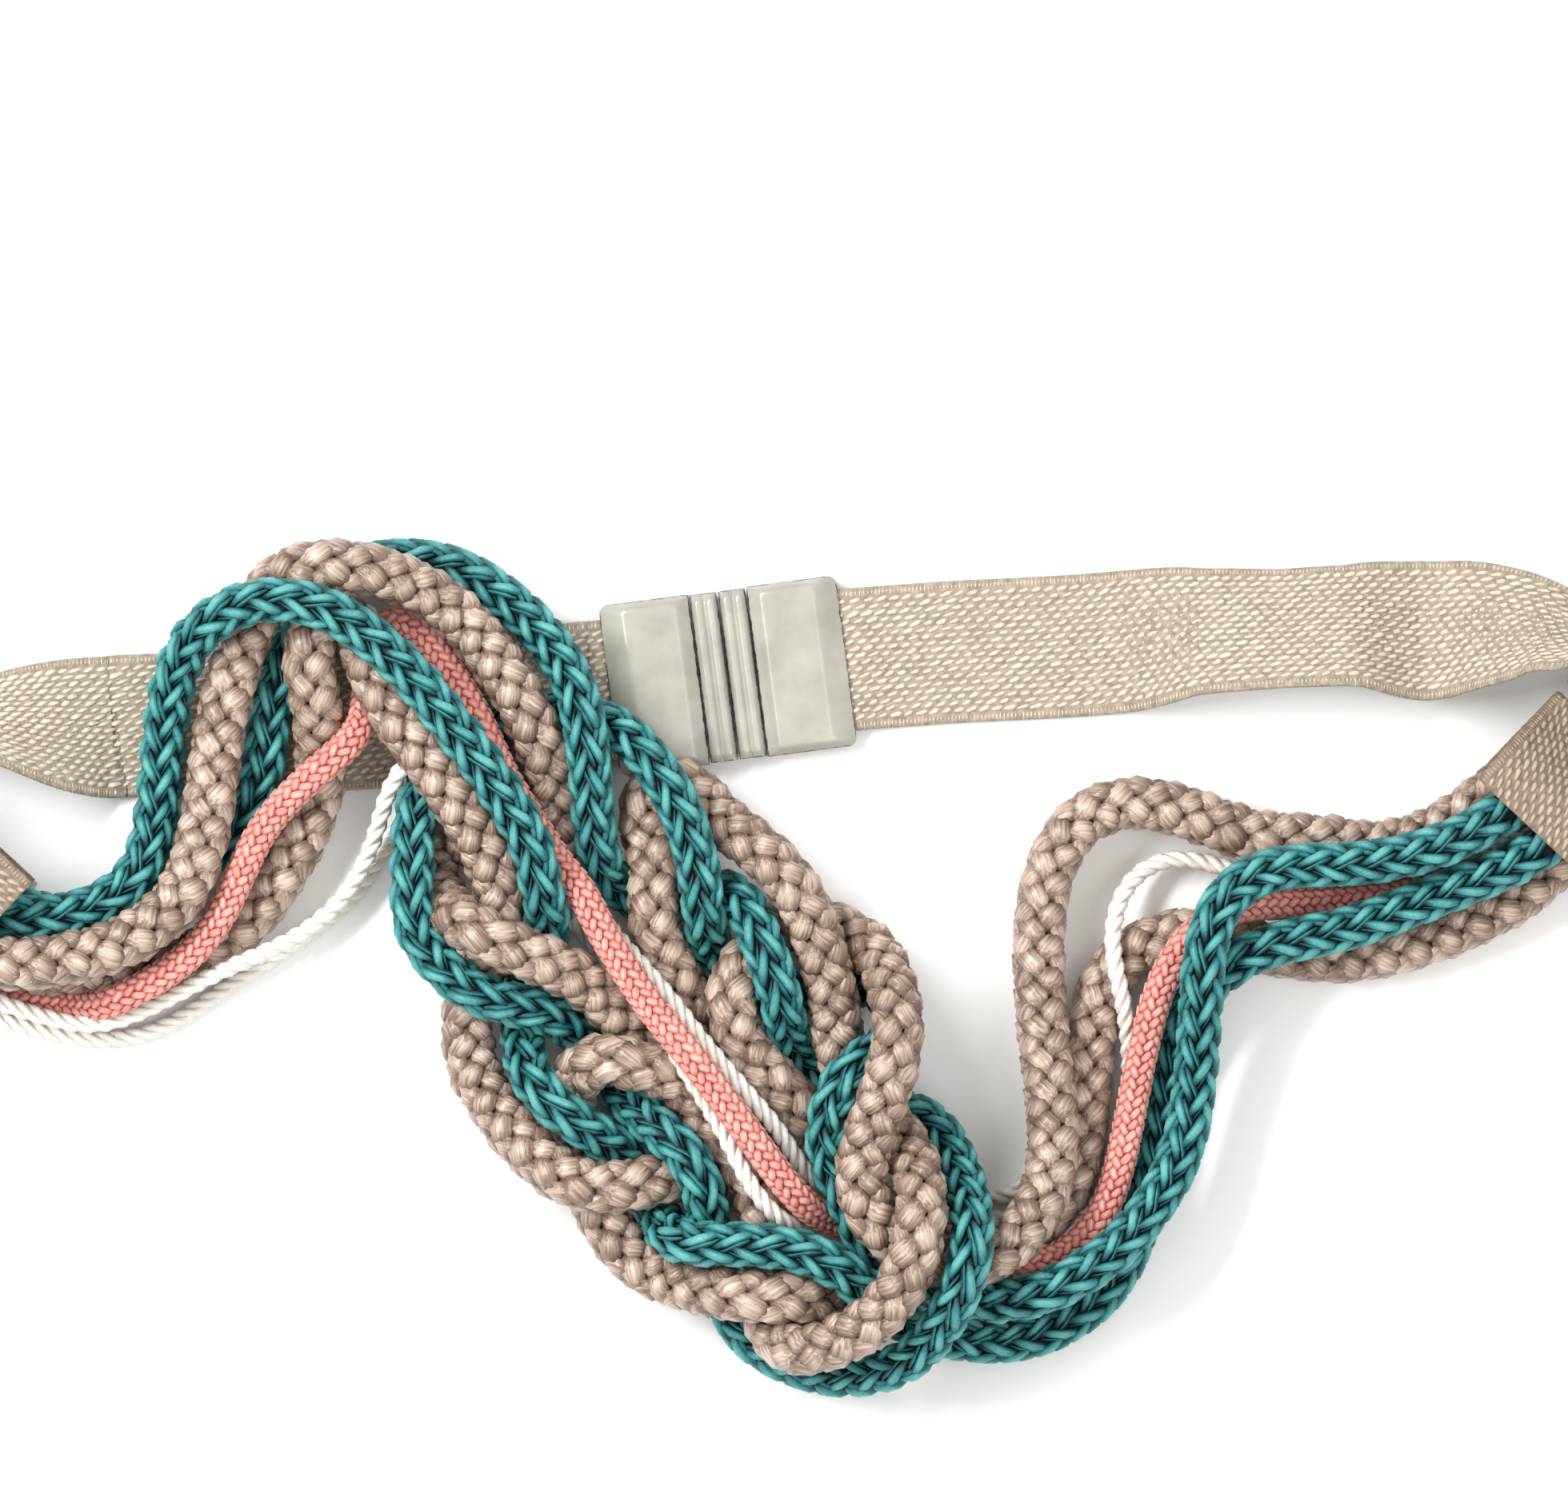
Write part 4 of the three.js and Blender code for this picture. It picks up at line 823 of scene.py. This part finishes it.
# How a strand's shade moves its fibres' noise and its colour, and where along its depth, and how strongly,
# painted shade turns to painted light.
SHADE_SHIFT = (31.0, 17.0)
SHADE_SPREAD = 0.22
PAINTED_SHADE_SPAN = (-0.3, 0.9)
PAINTED_LIGHT_SHARE = 0.8
FIBRE_DEPTH = 0.25 * MM
SHEEN_ROUGHNESS = 0.4
CHIP_LEVEL = 1.3


def colour(red, green, blue):
    """An 8-bit display colour as a linear one."""
    shares = [v / 255 for v in (red, green, blue)]
    return (*(v / 12.92 if v <= 0.04045 else ((v + 0.055) / 1.055) ** 2.4 for v in shares), 1)


def new_material(name):
    material = bpy.data.materials.new(name)
    material.use_nodes = True
    tree = material.node_tree
    tree.nodes.clear()
    wiring = Wiring(tree)
    shader = wiring.node("ShaderNodeBsdfPrincipled")
    wiring.node("ShaderNodeOutputMaterial", {"Surface": shader.outputs[0]})
    return material, wiring, shader

def set_values(node, values):
    for key, value in values.items():
        node.inputs[key].default_value = value


def ramp(wiring, fac, *stops):
    """A colour ramp through (position, colour) stops."""
    made = wiring.node("ShaderNodeValToRGB", {"Fac": fac})
    elements = made.color_ramp.elements
    elements[0].position, elements[0].color = stops[0]
    elements[1].position, elements[1].color = stops[-1]
    for position, value in stops[1:-1]:
        elements.new(position).color = value
    return made.outputs["Color"]


def noise(wiring, vector, scale, detail=2.0, roughness=0.5):
    return wiring.node("ShaderNodeTexNoise", {"Vector": vector, "Scale": scale, "Detail": detail,
                                              "Roughness": roughness}).outputs[0]


def strand_finish(name, shades, fibres, contrast, length, depth, band, roughness, bump, sheen, specular):
    """Yarn or satin: fibres along each strand, each strand its own shade, painted shade at its sides and ends
    and a painted highlight across its middle.
    """
    material, wiring, shader = new_material(name)
    own = wiring.node("ShaderNodeAttribute", attribute_name="strand").outputs["Vector"]
    shade = wiring.node("ShaderNodeAttribute", attribute_name="shade").outputs["Fac"]
    shift = wiring.combined(*(wiring.times(shade, share) for share in SHADE_SHIFT), shade)
    fibre_place = wiring.vector("ADD", wiring.vector("MULTIPLY", own, fibres), shift)
    threads = noise(wiring, fibre_place, 1.0, 3.0, 0.6)
    place = wiring.parts(own)
    # Painted shade: the colour darkens towards the low sides and tucked ends of each strand.
    low, high = PAINTED_SHADE_SPAN
    rise = wiring.node("ShaderNodeMapRange",
                       {"Value": place[2], "From Min": low * depth, "From Max": high * depth}).outputs[0]
    # Painted highlight: a lighter band across the middle of each strand, as strong as band.
    middle = wiring.minus(1.0, wiring.math("POWER", wiring.over(place[0], length / 2), 2.0))
    middle = wiring.math("POWER", wiring.math("MAXIMUM", middle, 0.0), 4.0)
    fac = wiring.times(wiring.minus(threads, 0.5), contrast)
    fac = wiring.plus(fac, wiring.times(wiring.minus(shade, 0.5), SHADE_SPREAD))
    fac = wiring.plus(fac, wiring.times(rise, PAINTED_LIGHT_SHARE - band))
    fac = wiring.plus(fac, wiring.times(middle, band))
    # The ramp runs from a painted shadow colour through the body colour to a painted highlight colour.
    shadow, body, light = (colour(*shade_of) for shade_of in shades)
    wiring.link(ramp(wiring, fac, (0.0, shadow), (0.5, body), (1.0, light)), shader.inputs["Base Color"])
    raised = wiring.node("ShaderNodeBump", {"Height": threads, "Strength": bump, "Distance": FIBRE_DEPTH})
    wiring.link(raised.outputs[0], shader.inputs["Normal"])
    set_values(shader, {"Roughness": roughness, "Sheen Weight": sheen, "Sheen Roughness": SHEEN_ROUGHNESS,
                        "Sheen Tint": light, "Specular IOR Level": specular})
    return material


def matt_finish(name, rgb, roughness, dimmest):
    """One colour with a fine darker mottle."""
    material, wiring, shader = new_material(name)
    place = wiring.node("ShaderNodeTexCoord").outputs["Object"]
    spread = noise(wiring, place, 900.0, 2.0)
    dark = colour(*[v * dimmest for v in rgb])
    wiring.link(ramp(wiring, spread, (0.3, dark), (0.75, colour(*rgb))), shader.inputs["Base Color"])
    set_values(shader, {"Roughness": roughness})
    return material


def finish(name):
    return strand_finish(name, **YARNS[name]) if name in YARNS else matt_finish(name, *MATTS[name])


def enamel_finish():
    """Glossy warm-grey enamel, faintly mottled, its edges worn to dark metal in spots."""
    material, wiring, shader = new_material("clasp_enamel")
    place = wiring.node("ShaderNodeTexCoord").outputs["Object"]
    mottle = noise(wiring, place, 160.0, 4.0)
    tint = ramp(wiring, mottle, (0.3, colour(158, 155, 146)), (0.7, colour(178, 175, 166)))
    worn = wiring.node("ShaderNodeAttribute", attribute_name="worn").outputs["Fac"]
    grain = noise(wiring, place, 700.0, 3.0)
    specks = wiring.math("GREATER_THAN", wiring.plus(grain, worn), CHIP_LEVEL)
    mixed = wiring.node("ShaderNodeMix", {0: specks, 6: tint, 7: colour(58, 52, 46)}, data_type="RGBA")
    wiring.link(mixed.outputs[2], shader.inputs["Base Color"])
    set_values(shader, {"Roughness": 0.22, "Coat Weight": 0.6, "Coat Roughness": 0.12})
    return material


# Settings in the sidebar.


class CordSettings(PropertyGroup):
    """Sizes and looks of the braided cords."""

    teal_pitch: FloatProperty(name="Teal pitch", description="Step between teal strands of one column",
                              default=0.0058, unit="LENGTH", precision=4)
    taupe_pitch: FloatProperty(name="Taupe pitch", description="Step between taupe strands of one column",
                               default=0.0059, unit="LENGTH", precision=4)
    pink_pitch: FloatProperty(name="Pink pitch", description="Step between pink strands of one column",
                              default=0.0021, unit="LENGTH", precision=4)
    white_lay: FloatProperty(name="White lay", description="Length of one full twist of the white cords",
                             default=0.009, unit="LENGTH", precision=4)
    variation: FloatProperty(name="Variation", description="How much strands differ in size and lean",
                             default=0.08, min=0, max=0.4)


class ElasticSettings(PropertyGroup):
    """Sizes of the knitted elastic."""

    rows: IntProperty(name="Rows", description="Rows of stitches across a strap", default=18, min=4, max=40)
    stitch_pitch: FloatProperty(name="Stitch pitch", description="Step between stitches of one row",
                                default=0.0023, unit="LENGTH", precision=4)


class StageSettings(PropertyGroup):
    """Camera and light."""

    distance: FloatProperty(name="Camera distance", description="Height of the camera above the table",
                            default=4, unit="LENGTH")
    middle: FloatVectorProperty(name="Middle", description="Point of the table under the camera", size=2,
                                default=(0.010, -0.0138), unit="LENGTH", precision=4)
    width: FloatProperty(name="Width", description="Width of table in the picture", default=0.28,
                         unit="LENGTH")


# Pieces.


# Strands by cord. The dive sinks both ends, the tilt lifts the far one, and a head over 1 moves the
# widest point towards it. A low taper keeps a strand thick to its ends. The under strands fill gaps.
STRANDS = {
    "teal": dict(size=(8.8 * MM, 1.75 * MM, 1.8 * MM), dive=1.5 * MM, tilt=0.9 * MM, head=1.15, taper=0.3,
                 rings=6, sides=6),
    "taupe": dict(size=(9.2 * MM, 5.2 * MM, 3.4 * MM), dive=1.4 * MM, tilt=1.9 * MM, head=1.15, taper=0.8,
                  rings=7, sides=7),
    "pink": dict(size=(3.6 * MM, 1.7 * MM, 1.1 * MM), dive=0.5 * MM, tilt=0.2 * MM, head=1.0, taper=0.45,
                 rings=4, sides=5),
}
UNDER_STRANDS = {
    "teal": dict(size=(7.8 * MM, 1.1 * MM, 1.1 * MM), dive=0.3 * MM, tilt=0.4 * MM, head=1.0, taper=0.25,
                 rings=4, sides=3),
    "taupe": dict(size=(4 * MM, 1.7 * MM, 1.3 * MM), dive=0.5 * MM, tilt=0.0, head=1.0, taper=0.7,
                  rings=3, sides=3),
    "pink": dict(size=(2.6 * MM, 0.9 * MM, 0.7 * MM), dive=0.2 * MM, tilt=0.0, head=1.0, taper=0.5,
                 rings=3, sides=4),
}
STITCH = dict(size=(3 * MM, 1 * MM, 0.75 * MM), dive=0.3 * MM, tilt=0.2 * MM, head=1.4, taper=0.5,
              rings=4, sides=5)
RIB = dict(size=(1.9 * MM, 0.66 * MM, 1.3 * MM), dive=0.1 * MM, tilt=0.0, head=1.0, taper=0.35,
           rings=3, sides=4)

# Braids by cord: radii of the strands' middles, of the under strands' and of the core, lean in degrees, and
# finishes of the same three; those of the under strands and the core are painted shade.
BRAIDS = {
    "teal": dict(columns=8, surface=3.45 * MM, under=3.15 * MM, core=2.5 * MM, lean=25,
                 finishes=("teal_yarn", "teal_under_yarn", "teal_core")),
    "taupe": dict(columns=8, surface=3.45 * MM, under=2.8 * MM, core=2.5 * MM, lean=30,
                  finishes=("taupe_satin", "taupe_under_satin", "taupe_core")),
    "pink": dict(columns=10, surface=2.45 * MM, under=2.2 * MM, core=2.1 * MM, lean=32,
                 finishes=("pink_yarn", "pink_under_yarn", "pink_core")),
}

# How far a braid and a twist wander round their cord, in radians, and the plies of a white cord.
BRAID_WANDER = 0.35
TWIST_WANDER = 0.2
PLIES = 3
PLY_RADIUS = 0.8 * MM
PLY_OFFSET = 0.9 * MM
PLY_STEP = 0.75 * MM
PLY_SIDES = 6

# REST holds where the cords rest.
REST = {}


def resting_cord(name):
    if not REST:
        REST.update(resting_cords())
    return REST[name]


def declare(piece, solid):
    """Attaches a piece to the root body and hides the solid it stands for."""
    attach(piece, "root")
    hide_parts(solid)


def declare_cord(piece, name):
    """Attaches a piece to the root body and hides its cord's solid."""
    declare(piece, name)


def loose_object(name, form):
    return bpy.data.objects.new(name, strand_mesh(name, **form))


def joined_mesh(name, meshes):
    """One mesh made of several, which are used up."""
    build = bmesh.new()
    for mesh in meshes:
        build.from_mesh(mesh)
        bpy.data.meshes.remove(mesh)
    whole = bpy.data.meshes.new(name)
    build.to_mesh(whole)
    build.free()
    whole.shade_smooth()
    return whole


class BraidedCords(Operator):
    """Braid the teal, taupe and pink cords along their resting places"""

    bl_idname = "belt.braided_cords"
    bl_label = "Braided cords"

    def execute(self, context):
        chosen = context.scene.belt_cords
        tree = braid_tree()
        finishes = {kind: [finish(name) for name in braid["finishes"]] for kind, braid in BRAIDS.items()}
        for number, name in enumerate(ROUTES):
            kind = cord_kind(name)
            if kind not in BRAIDS:
                continue
            strand = loose_object("strand", STRANDS[kind])
            under = loose_object("under_strand", UNDER_STRANDS[kind])
            path, _, side = cord_spine(resting_cord(name), BRAID_WANDER, number)
            braid = BRAIDS[kind]
            outer_finish, under_finish, core_finish = finishes[kind]
            piece = grown(f"{name}_braid", spine_mesh("spine", path, side), tree, Strand=strand,
                          Under_strand=under, Columns=braid["columns"],
                          Pitch=getattr(chosen, f"{kind}_pitch"), Surface_radius=braid["surface"],
                          Under_radius=braid["under"], Core_radius=braid["core"],
                          Lean=math.radians(braid["lean"]),
                          Variation=chosen.variation, Strand_finish=outer_finish,
                          Under_finish=under_finish, Core_finish=core_finish)
            bpy.data.objects.remove(strand)
            bpy.data.objects.remove(under)
            declare_cord(piece, name)
        bpy.data.node_groups.remove(tree)
        return {"FINISHED"}


class TwistedCords(Operator):
    """Twist the white cords of three plies each"""

    bl_idname = "belt.twisted_cords"
    bl_label = "Twisted cords"

    def execute(self, context):
        ply_finish = finish("white_ply")
        for number, name in enumerate(ROUTES):
            if cord_kind(name) != "white":
                continue
            path, tangents, side = cord_spine(resting_cord(name), TWIST_WANDER, number)
            place = run_along(path)
            along = np.arange(0, place[-1], PLY_STEP)
            fine, way, facing = (np.stack([np.interp(along, place, rows[:, k]) for k in range(3)], axis=1)
                                 for rows in (path, tangents, side))
            other = np.cross(way, facing)
            meshes = []
            for ply in range(PLIES):
                turn = (along / context.scene.belt_cords.white_lay + ply / PLIES)[:, None] * 2 * math.pi
                out = facing * np.cos(turn) + other * np.sin(turn)
                meshes.append(tube_mesh("ply", fine + out * PLY_OFFSET, out, PLY_RADIUS, PLY_SIDES))
            piece = add_object(f"{name}_twist", joined_mesh(f"{name}_twist", meshes), ply_finish)
            declare_cord(piece, name)
        return {"FINISHED"}


# The knitted elastic: how much thinner its ground is than the solid, the width that its rows fill,
# each row's shift against the last, heights over the middle, leans in degrees and variations.
GROUND_INSET = 0.7 * MM
KNIT_WIDTH = STRAP_WIDTH - 3.4 * MM
GOLDEN_SHARE = 0.618
STITCH_HEIGHT = 0.5 * MM
STITCH_LEAN = 16
STITCH_VARIATION = 0.2
RIB_PITCH = 0.68 * MM
RIB_INSET = 0.95 * MM
RIB_HEIGHT = 0.1 * MM
RIB_LEAN = 86
RIB_VARIATION = 0.12
EDGE_FACETS = 6


def band_mesh(name, path, across, width, thickness):
    """A flat band along a path: a closed box section with rounded long edges."""
    tangents = unit(np.gradient(path, axis=0))
    side = unit(across - tangents * np.sum(across * tangents, axis=1)[:, None])
    up = np.cross(tangents, side)
    section = []
    for k in range(EDGE_FACETS + 1):
        turn = math.pi * (k / EDGE_FACETS - 0.5)
        y = width / 2 - thickness / 2 + math.cos(turn) * thickness / 2
        section.append((y, math.sin(turn) * thickness / 2))
    section += [(-y, -z) for y, z in section]
    ring = np.array(section)
    verts = path[:, None] + side[:, None] * ring[:, :1] + up[:, None] * ring[:, 1:]
    verts = np.concatenate([verts.reshape(-1, 3), path[:1], path[-1:]])
    mesh = bpy.data.meshes.new(name)
    mesh.from_pydata(verts.tolist(), [], grid_faces(len(path), len(section)))
    mesh.shade_smooth()
    return mesh


class Elastic(Operator):
    """Knit the two straps and the two folded tabs"""

    bl_idname = "belt.elastic"
    bl_label = "Knitted elastic"

    def execute(self, context):
        chosen = context.scene.belt_elastic
        tree = knit_tree()
        front = finish("elastic_knit"), finish("elastic_ground")
        reverse = finish("elastic_reverse"), finish("elastic_reverse_ground")
        stitch, rib = loose_object("stitch", STITCH), loose_object("rib", RIB)
        bands = {
            "strap_right": (*strap_spine(RIGHT_STRAP), "stretched", ["clasp_right_half", "tab_right"]),
            "strap_left": (*strap_spine(LEFT_STRAP), "stretched", ["clasp_left_half", "tab_left"]),
            "tab_right": (*tab_spine(RIGHT_MOUTH), "folded", ["strap_right"]),
            "tab_left": (*tab_spine(LEFT_MOUTH), "folded", ["strap_left"]),
        }
        for name, (path, across, held, rests_on) in bands.items():
            knit, ground = reverse if held == "folded" else front
            mesh = band_mesh(name, path, across, STRAP_WIDTH, STRAP_THICKNESS - GROUND_INSET)
            band = add_object(f"{name}_band", mesh, ground)
            stitches = grown(f"{name}_stitches", spine_mesh("spine", path, across), tree, Strand=stitch,
                             Rows=chosen.rows, Row_pitch=KNIT_WIDTH / chosen.rows,
                             Stitch_pitch=chosen.stitch_pitch, Stagger=GOLDEN_SHARE, Height=STITCH_HEIGHT,
                             Lean=math.radians(STITCH_LEAN), Variation=STITCH_VARIATION, Strand_finish=knit)
            edges = []
            for side, way in (("upper", 1), ("lower", -1)):
                edges.append(grown(f"{name}_{side}_selvedge", spine_mesh("spine", path, across), tree,
                                   Strand=rib, Rows=1, Stitch_pitch=RIB_PITCH,
                                   Offset=way * (STRAP_WIDTH / 2 - RIB_INSET), Height=RIB_HEIGHT,
                                   Lean=math.radians(RIB_LEAN), Variation=RIB_VARIATION,
                                   Strand_finish=knit))
            for piece in (band, stitches, *edges):
                declare(piece, name)
        bpy.data.objects.remove(stitch)
        bpy.data.objects.remove(rib)
        bpy.data.node_groups.remove(tree)
        return {"FINISHED"}


# The clasp: its grid, round corners and how far in from its edges it is worn. A plate's slopes are
# the width and drop of its inner, outer and end bevels. A bar drops at its long edges and its ends.
CLASP_STEPS = 40
CORNER_ROUND = 1.6 * MM
WEAR_REACH = 0.5 * MM
PLATE_CROWN = 0.7 * MM
PLATE_SLOPES = ((2.4 * MM, 1.3 * MM), (4.4 * MM, 1.8 * MM), (1.5 * MM, 1.5 * MM))
SLOPE_POWER = 1.1
CORNER_DROP = 0.35
BAR_TOP = 4.9 * MM
BAR_BOTTOM = 1.5 * MM
BAR_DEPTH = CLASP_DEPTH - 0.4 * MM
RIDGE_HEIGHT = 0.75 * MM
RIDGE_POWER = 0.7
BAR_EDGE = {"reach": 0.35 * MM, "drop": 1.3 * MM}
BAR_END = {"reach": 1.5 * MM, "drop": 1.1 * MM}


def clasp_surface(name, span, depth, height_of, low):
    """A block whose top follows height_of(x, y), its sides straight down to a low plane.

    A plate's outer corners are round. Vertices store how worn they are: most at the top's edges.
    """
    mesh = bpy.data.meshes.new(name)
    build = bmesh.new()
    worn = build.verts.layers.float.new("worn")
    inner, outer = span
    last = CLASP_STEPS
    top, base = {}, {}
    for i in range(last + 1):
        for j in range(last + 1):
            u, v = (0.5 - 0.5 * math.cos(math.pi * s / last) for s in (i, j))
            x, y = inner + (outer - inner) * u, depth * (v - 0.5)
            over = max(0, CORNER_ROUND - (outer - x) if outer > BAR_WIDTH else 0)
            across = max(0, CORNER_ROUND - (depth / 2 - abs(y)))
            if over and across:
                beyond = max(over, across) / math.hypot(over, across)
                x += over * (beyond - 1)
                y -= math.copysign(across * (1 - beyond), y)
            edge = min(x - inner, outer - x, depth / 2 - abs(y))
            top[i, j] = build.verts.new((x, y, height_of(x, y)))
            base[i, j] = build.verts.new((x, y, low))
            top[i, j][worn] = max(0, 1 - edge / WEAR_REACH)
    for i in range(last):
        for j in range(last):
            build.faces.new((top[i, j], top[i + 1, j], top[i + 1, j + 1], top[i, j + 1]))
            build.faces.new((base[i, j], base[i, j + 1], base[i + 1, j + 1], base[i + 1, j]))
    edge = [(i, 0) for i in range(last)] + [(last, j) for j in range(last)]
    edge += [(i, last) for i in range(last, 0, -1)] + [(0, j) for j in range(last, 0, -1)]
    for a, b in zip(edge, edge[1:] + edge[:1]):
        build.faces.new((top[a], base[a], base[b], top[b]))
    bmesh.ops.recalc_face_normals(build, faces=build.faces)
    build.to_mesh(mesh)
    build.free()
    return mesh


def plate_height(x, y):
    """Pillow top of a clasp plate: flat bevels along its four edges, a soft crown between them."""
    inner = BAR_WIDTH + CLEARANCE
    edges = x - inner, inner + PLATE_WIDTH - x, CLASP_DEPTH / 2 - abs(y)
    crown = PLATE_CROWN * (2 * edges[0] / PLATE_WIDTH - 1) ** 2
    drops = [drop * max(0, 1 - max(edge, 0) / width) ** SLOPE_POWER
             for edge, (width, drop) in zip(edges, PLATE_SLOPES)]
    return CLASP_HEIGHT - crown - max(drops) - CORNER_DROP * min(sorted(drops)[-2:])


def bar_height(x, y):
    """Double ridge along a clasp bar."""
    u = (x + BAR_WIDTH) / (BAR_WIDTH - CLEARANCE / 2)
    edge = min(u, 1 - u) * BAR_WIDTH
    ridge = RIDGE_HEIGHT * abs(math.sin(2 * math.pi * u)) ** RIDGE_POWER
    slope = max(0, 1 - (CLASP_DEPTH / 2 - abs(y)) / BAR_END["reach"])
    edge_drop = BAR_EDGE["drop"] * math.exp(-edge / BAR_EDGE["reach"])
    return BAR_TOP + ridge - edge_drop - BAR_END["drop"] * slope


class Clasp(Operator):
    """Shape the two clasp halves"""

    bl_idname = "belt.clasp"
    bl_label = "Clasp"

    def execute(self, context):
        enamel = enamel_finish()
        inner = BAR_WIDTH + CLEARANCE
        for side, turn in (("right", 0), ("left", math.pi)):
            plate = clasp_surface("plate", (inner, inner + PLATE_WIDTH), CLASP_DEPTH, plate_height, 0.0)
            bar = clasp_surface("bar", (-BAR_WIDTH, -CLEARANCE / 2), BAR_DEPTH, bar_height, BAR_BOTTOM)
            mesh = joined_mesh(f"clasp_{side}", (plate, bar))
            cos, sin = math.cos(CLASP_ANGLE + turn), math.sin(CLASP_ANGLE + turn)
            for vert in mesh.vertices:
                x, y, z = vert.co
                vert.co = (x * cos - y * sin, x * sin + y * cos, z)
            piece = add_object(f"clasp_{side}_enamelled", mesh, enamel)
            declare(piece, f"clasp_{side}_half")
        return {"FINISHED"}


# The stage: half the table's width, the glow of the sky at the horizon and overhead, its colour, and
# each light's place, its size and its power in watts.
TABLE_REACH = 3
HORIZON_GLOW = 0.2
ZENITH_GLOW = 1.12
SKY_COLOUR = (1, 0.985, 0.955, 1)
LIGHTS = {
    "key": ((-0.8, 0.45, 1.2), (1.2, 0.2), 23.0),
    "fill": ((0.9, -0.5, 1.4), (1.2, 1.2), 9.0),
}


class Stage(Operator):
    """Place the camera, the light and the table"""

    bl_idname = "belt.stage"
    bl_label = "Stage"

    def execute(self, context):
        chosen = context.scene.belt_stage
        x, y = chosen.middle
        camera = bpy.data.cameras.new("camera")
        camera.lens = camera.sensor_width * chosen.distance / chosen.width
        camera.clip_end = 2.5 * chosen.distance
        eye = add_object("camera", camera)
        eye.location = (x, y, chosen.distance)
        context.scene.camera = eye
        corners = [(TABLE_REACH * i, TABLE_REACH * j, 0) for i, j in ((-1, -1), (1, -1), (1, 1), (-1, 1))]
        mesh = bpy.data.meshes.new("table")
        mesh.from_pydata(corners, [], [(0, 1, 2, 3)])
        material, _, shader = new_material("table_paper")
        set_values(shader, {"Base Color": colour(250, 250, 250), "Roughness": 0.9})
        add_object("table", mesh, material)
        for name, (place, size, power) in LIGHTS.items():
            light = bpy.data.lights.new(name, "AREA")
            light.shape, light.energy = "RECTANGLE", power
            light.size, light.size_y = size
            lamp = add_object(name, light)
            lamp.location = place
            lamp.rotation_euler = (Vector((x, y, 0)) - lamp.location).to_track_quat("-Z", "Y").to_euler()
        world = bpy.data.worlds.new("studio")
        world.use_nodes = True
        wiring = Wiring(world.node_tree)
        background = world.node_tree.nodes["Background"]
        set_values(background, {"Color": SKY_COLOUR})
        rise = wiring.parts(wiring.node("ShaderNodeTexCoord").outputs["Generated"])[2]
        glow = wiring.node("ShaderNodeMapRange",
                           {"Value": rise, "To Min": HORIZON_GLOW, "To Max": ZENITH_GLOW}).outputs[0]
        wiring.link(glow, background.inputs["Strength"])
        context.scene.world = world
        context.scene.view_settings.view_transform = "Standard"
        return {"FINISHED"}


class BeltPanel(Panel):
    """Sizes of the belt and a button for each group of its pieces"""

    bl_idname = "BELT_PT_pieces"
    bl_label = "Rope belt"
    bl_space_type = "VIEW_3D"
    bl_region_type = "UI"
    bl_category = "Rope belt"

    def draw(self, context):
        for group in ("belt_cords", "belt_elastic", "belt_stage"):
            box = self.layout.box()
            settings = getattr(context.scene, group)
            for key in settings.__annotations__:
                box.prop(settings, key)
        for operator in OPERATORS:
            self.layout.operator(operator.bl_idname)


SETTINGS = {"belt_cords": CordSettings, "belt_elastic": ElasticSettings, "belt_stage": StageSettings}
OPERATORS = (Stage, BraidedCords, TwistedCords, Elastic, Clasp)


def register():
    for cls in (*SETTINGS.values(), *OPERATORS, BeltPanel):
        bpy.utils.register_class(cls)
    for name, cls in SETTINGS.items():
        setattr(bpy.types.Scene, name, PointerProperty(type=cls))


def unregister():
    for name in SETTINGS:
        delattr(bpy.types.Scene, name)
    for cls in (BeltPanel, *reversed(OPERATORS), *SETTINGS.values()):
        bpy.utils.unregister_class(cls)


def main():
    register()
    bpy.ops.belt.stage()
    bpy.ops.belt.braided_cords()
    bpy.ops.belt.twisted_cords()
    bpy.ops.belt.elastic()
    bpy.ops.belt.clasp()


if __name__ == "__main__":
    main()
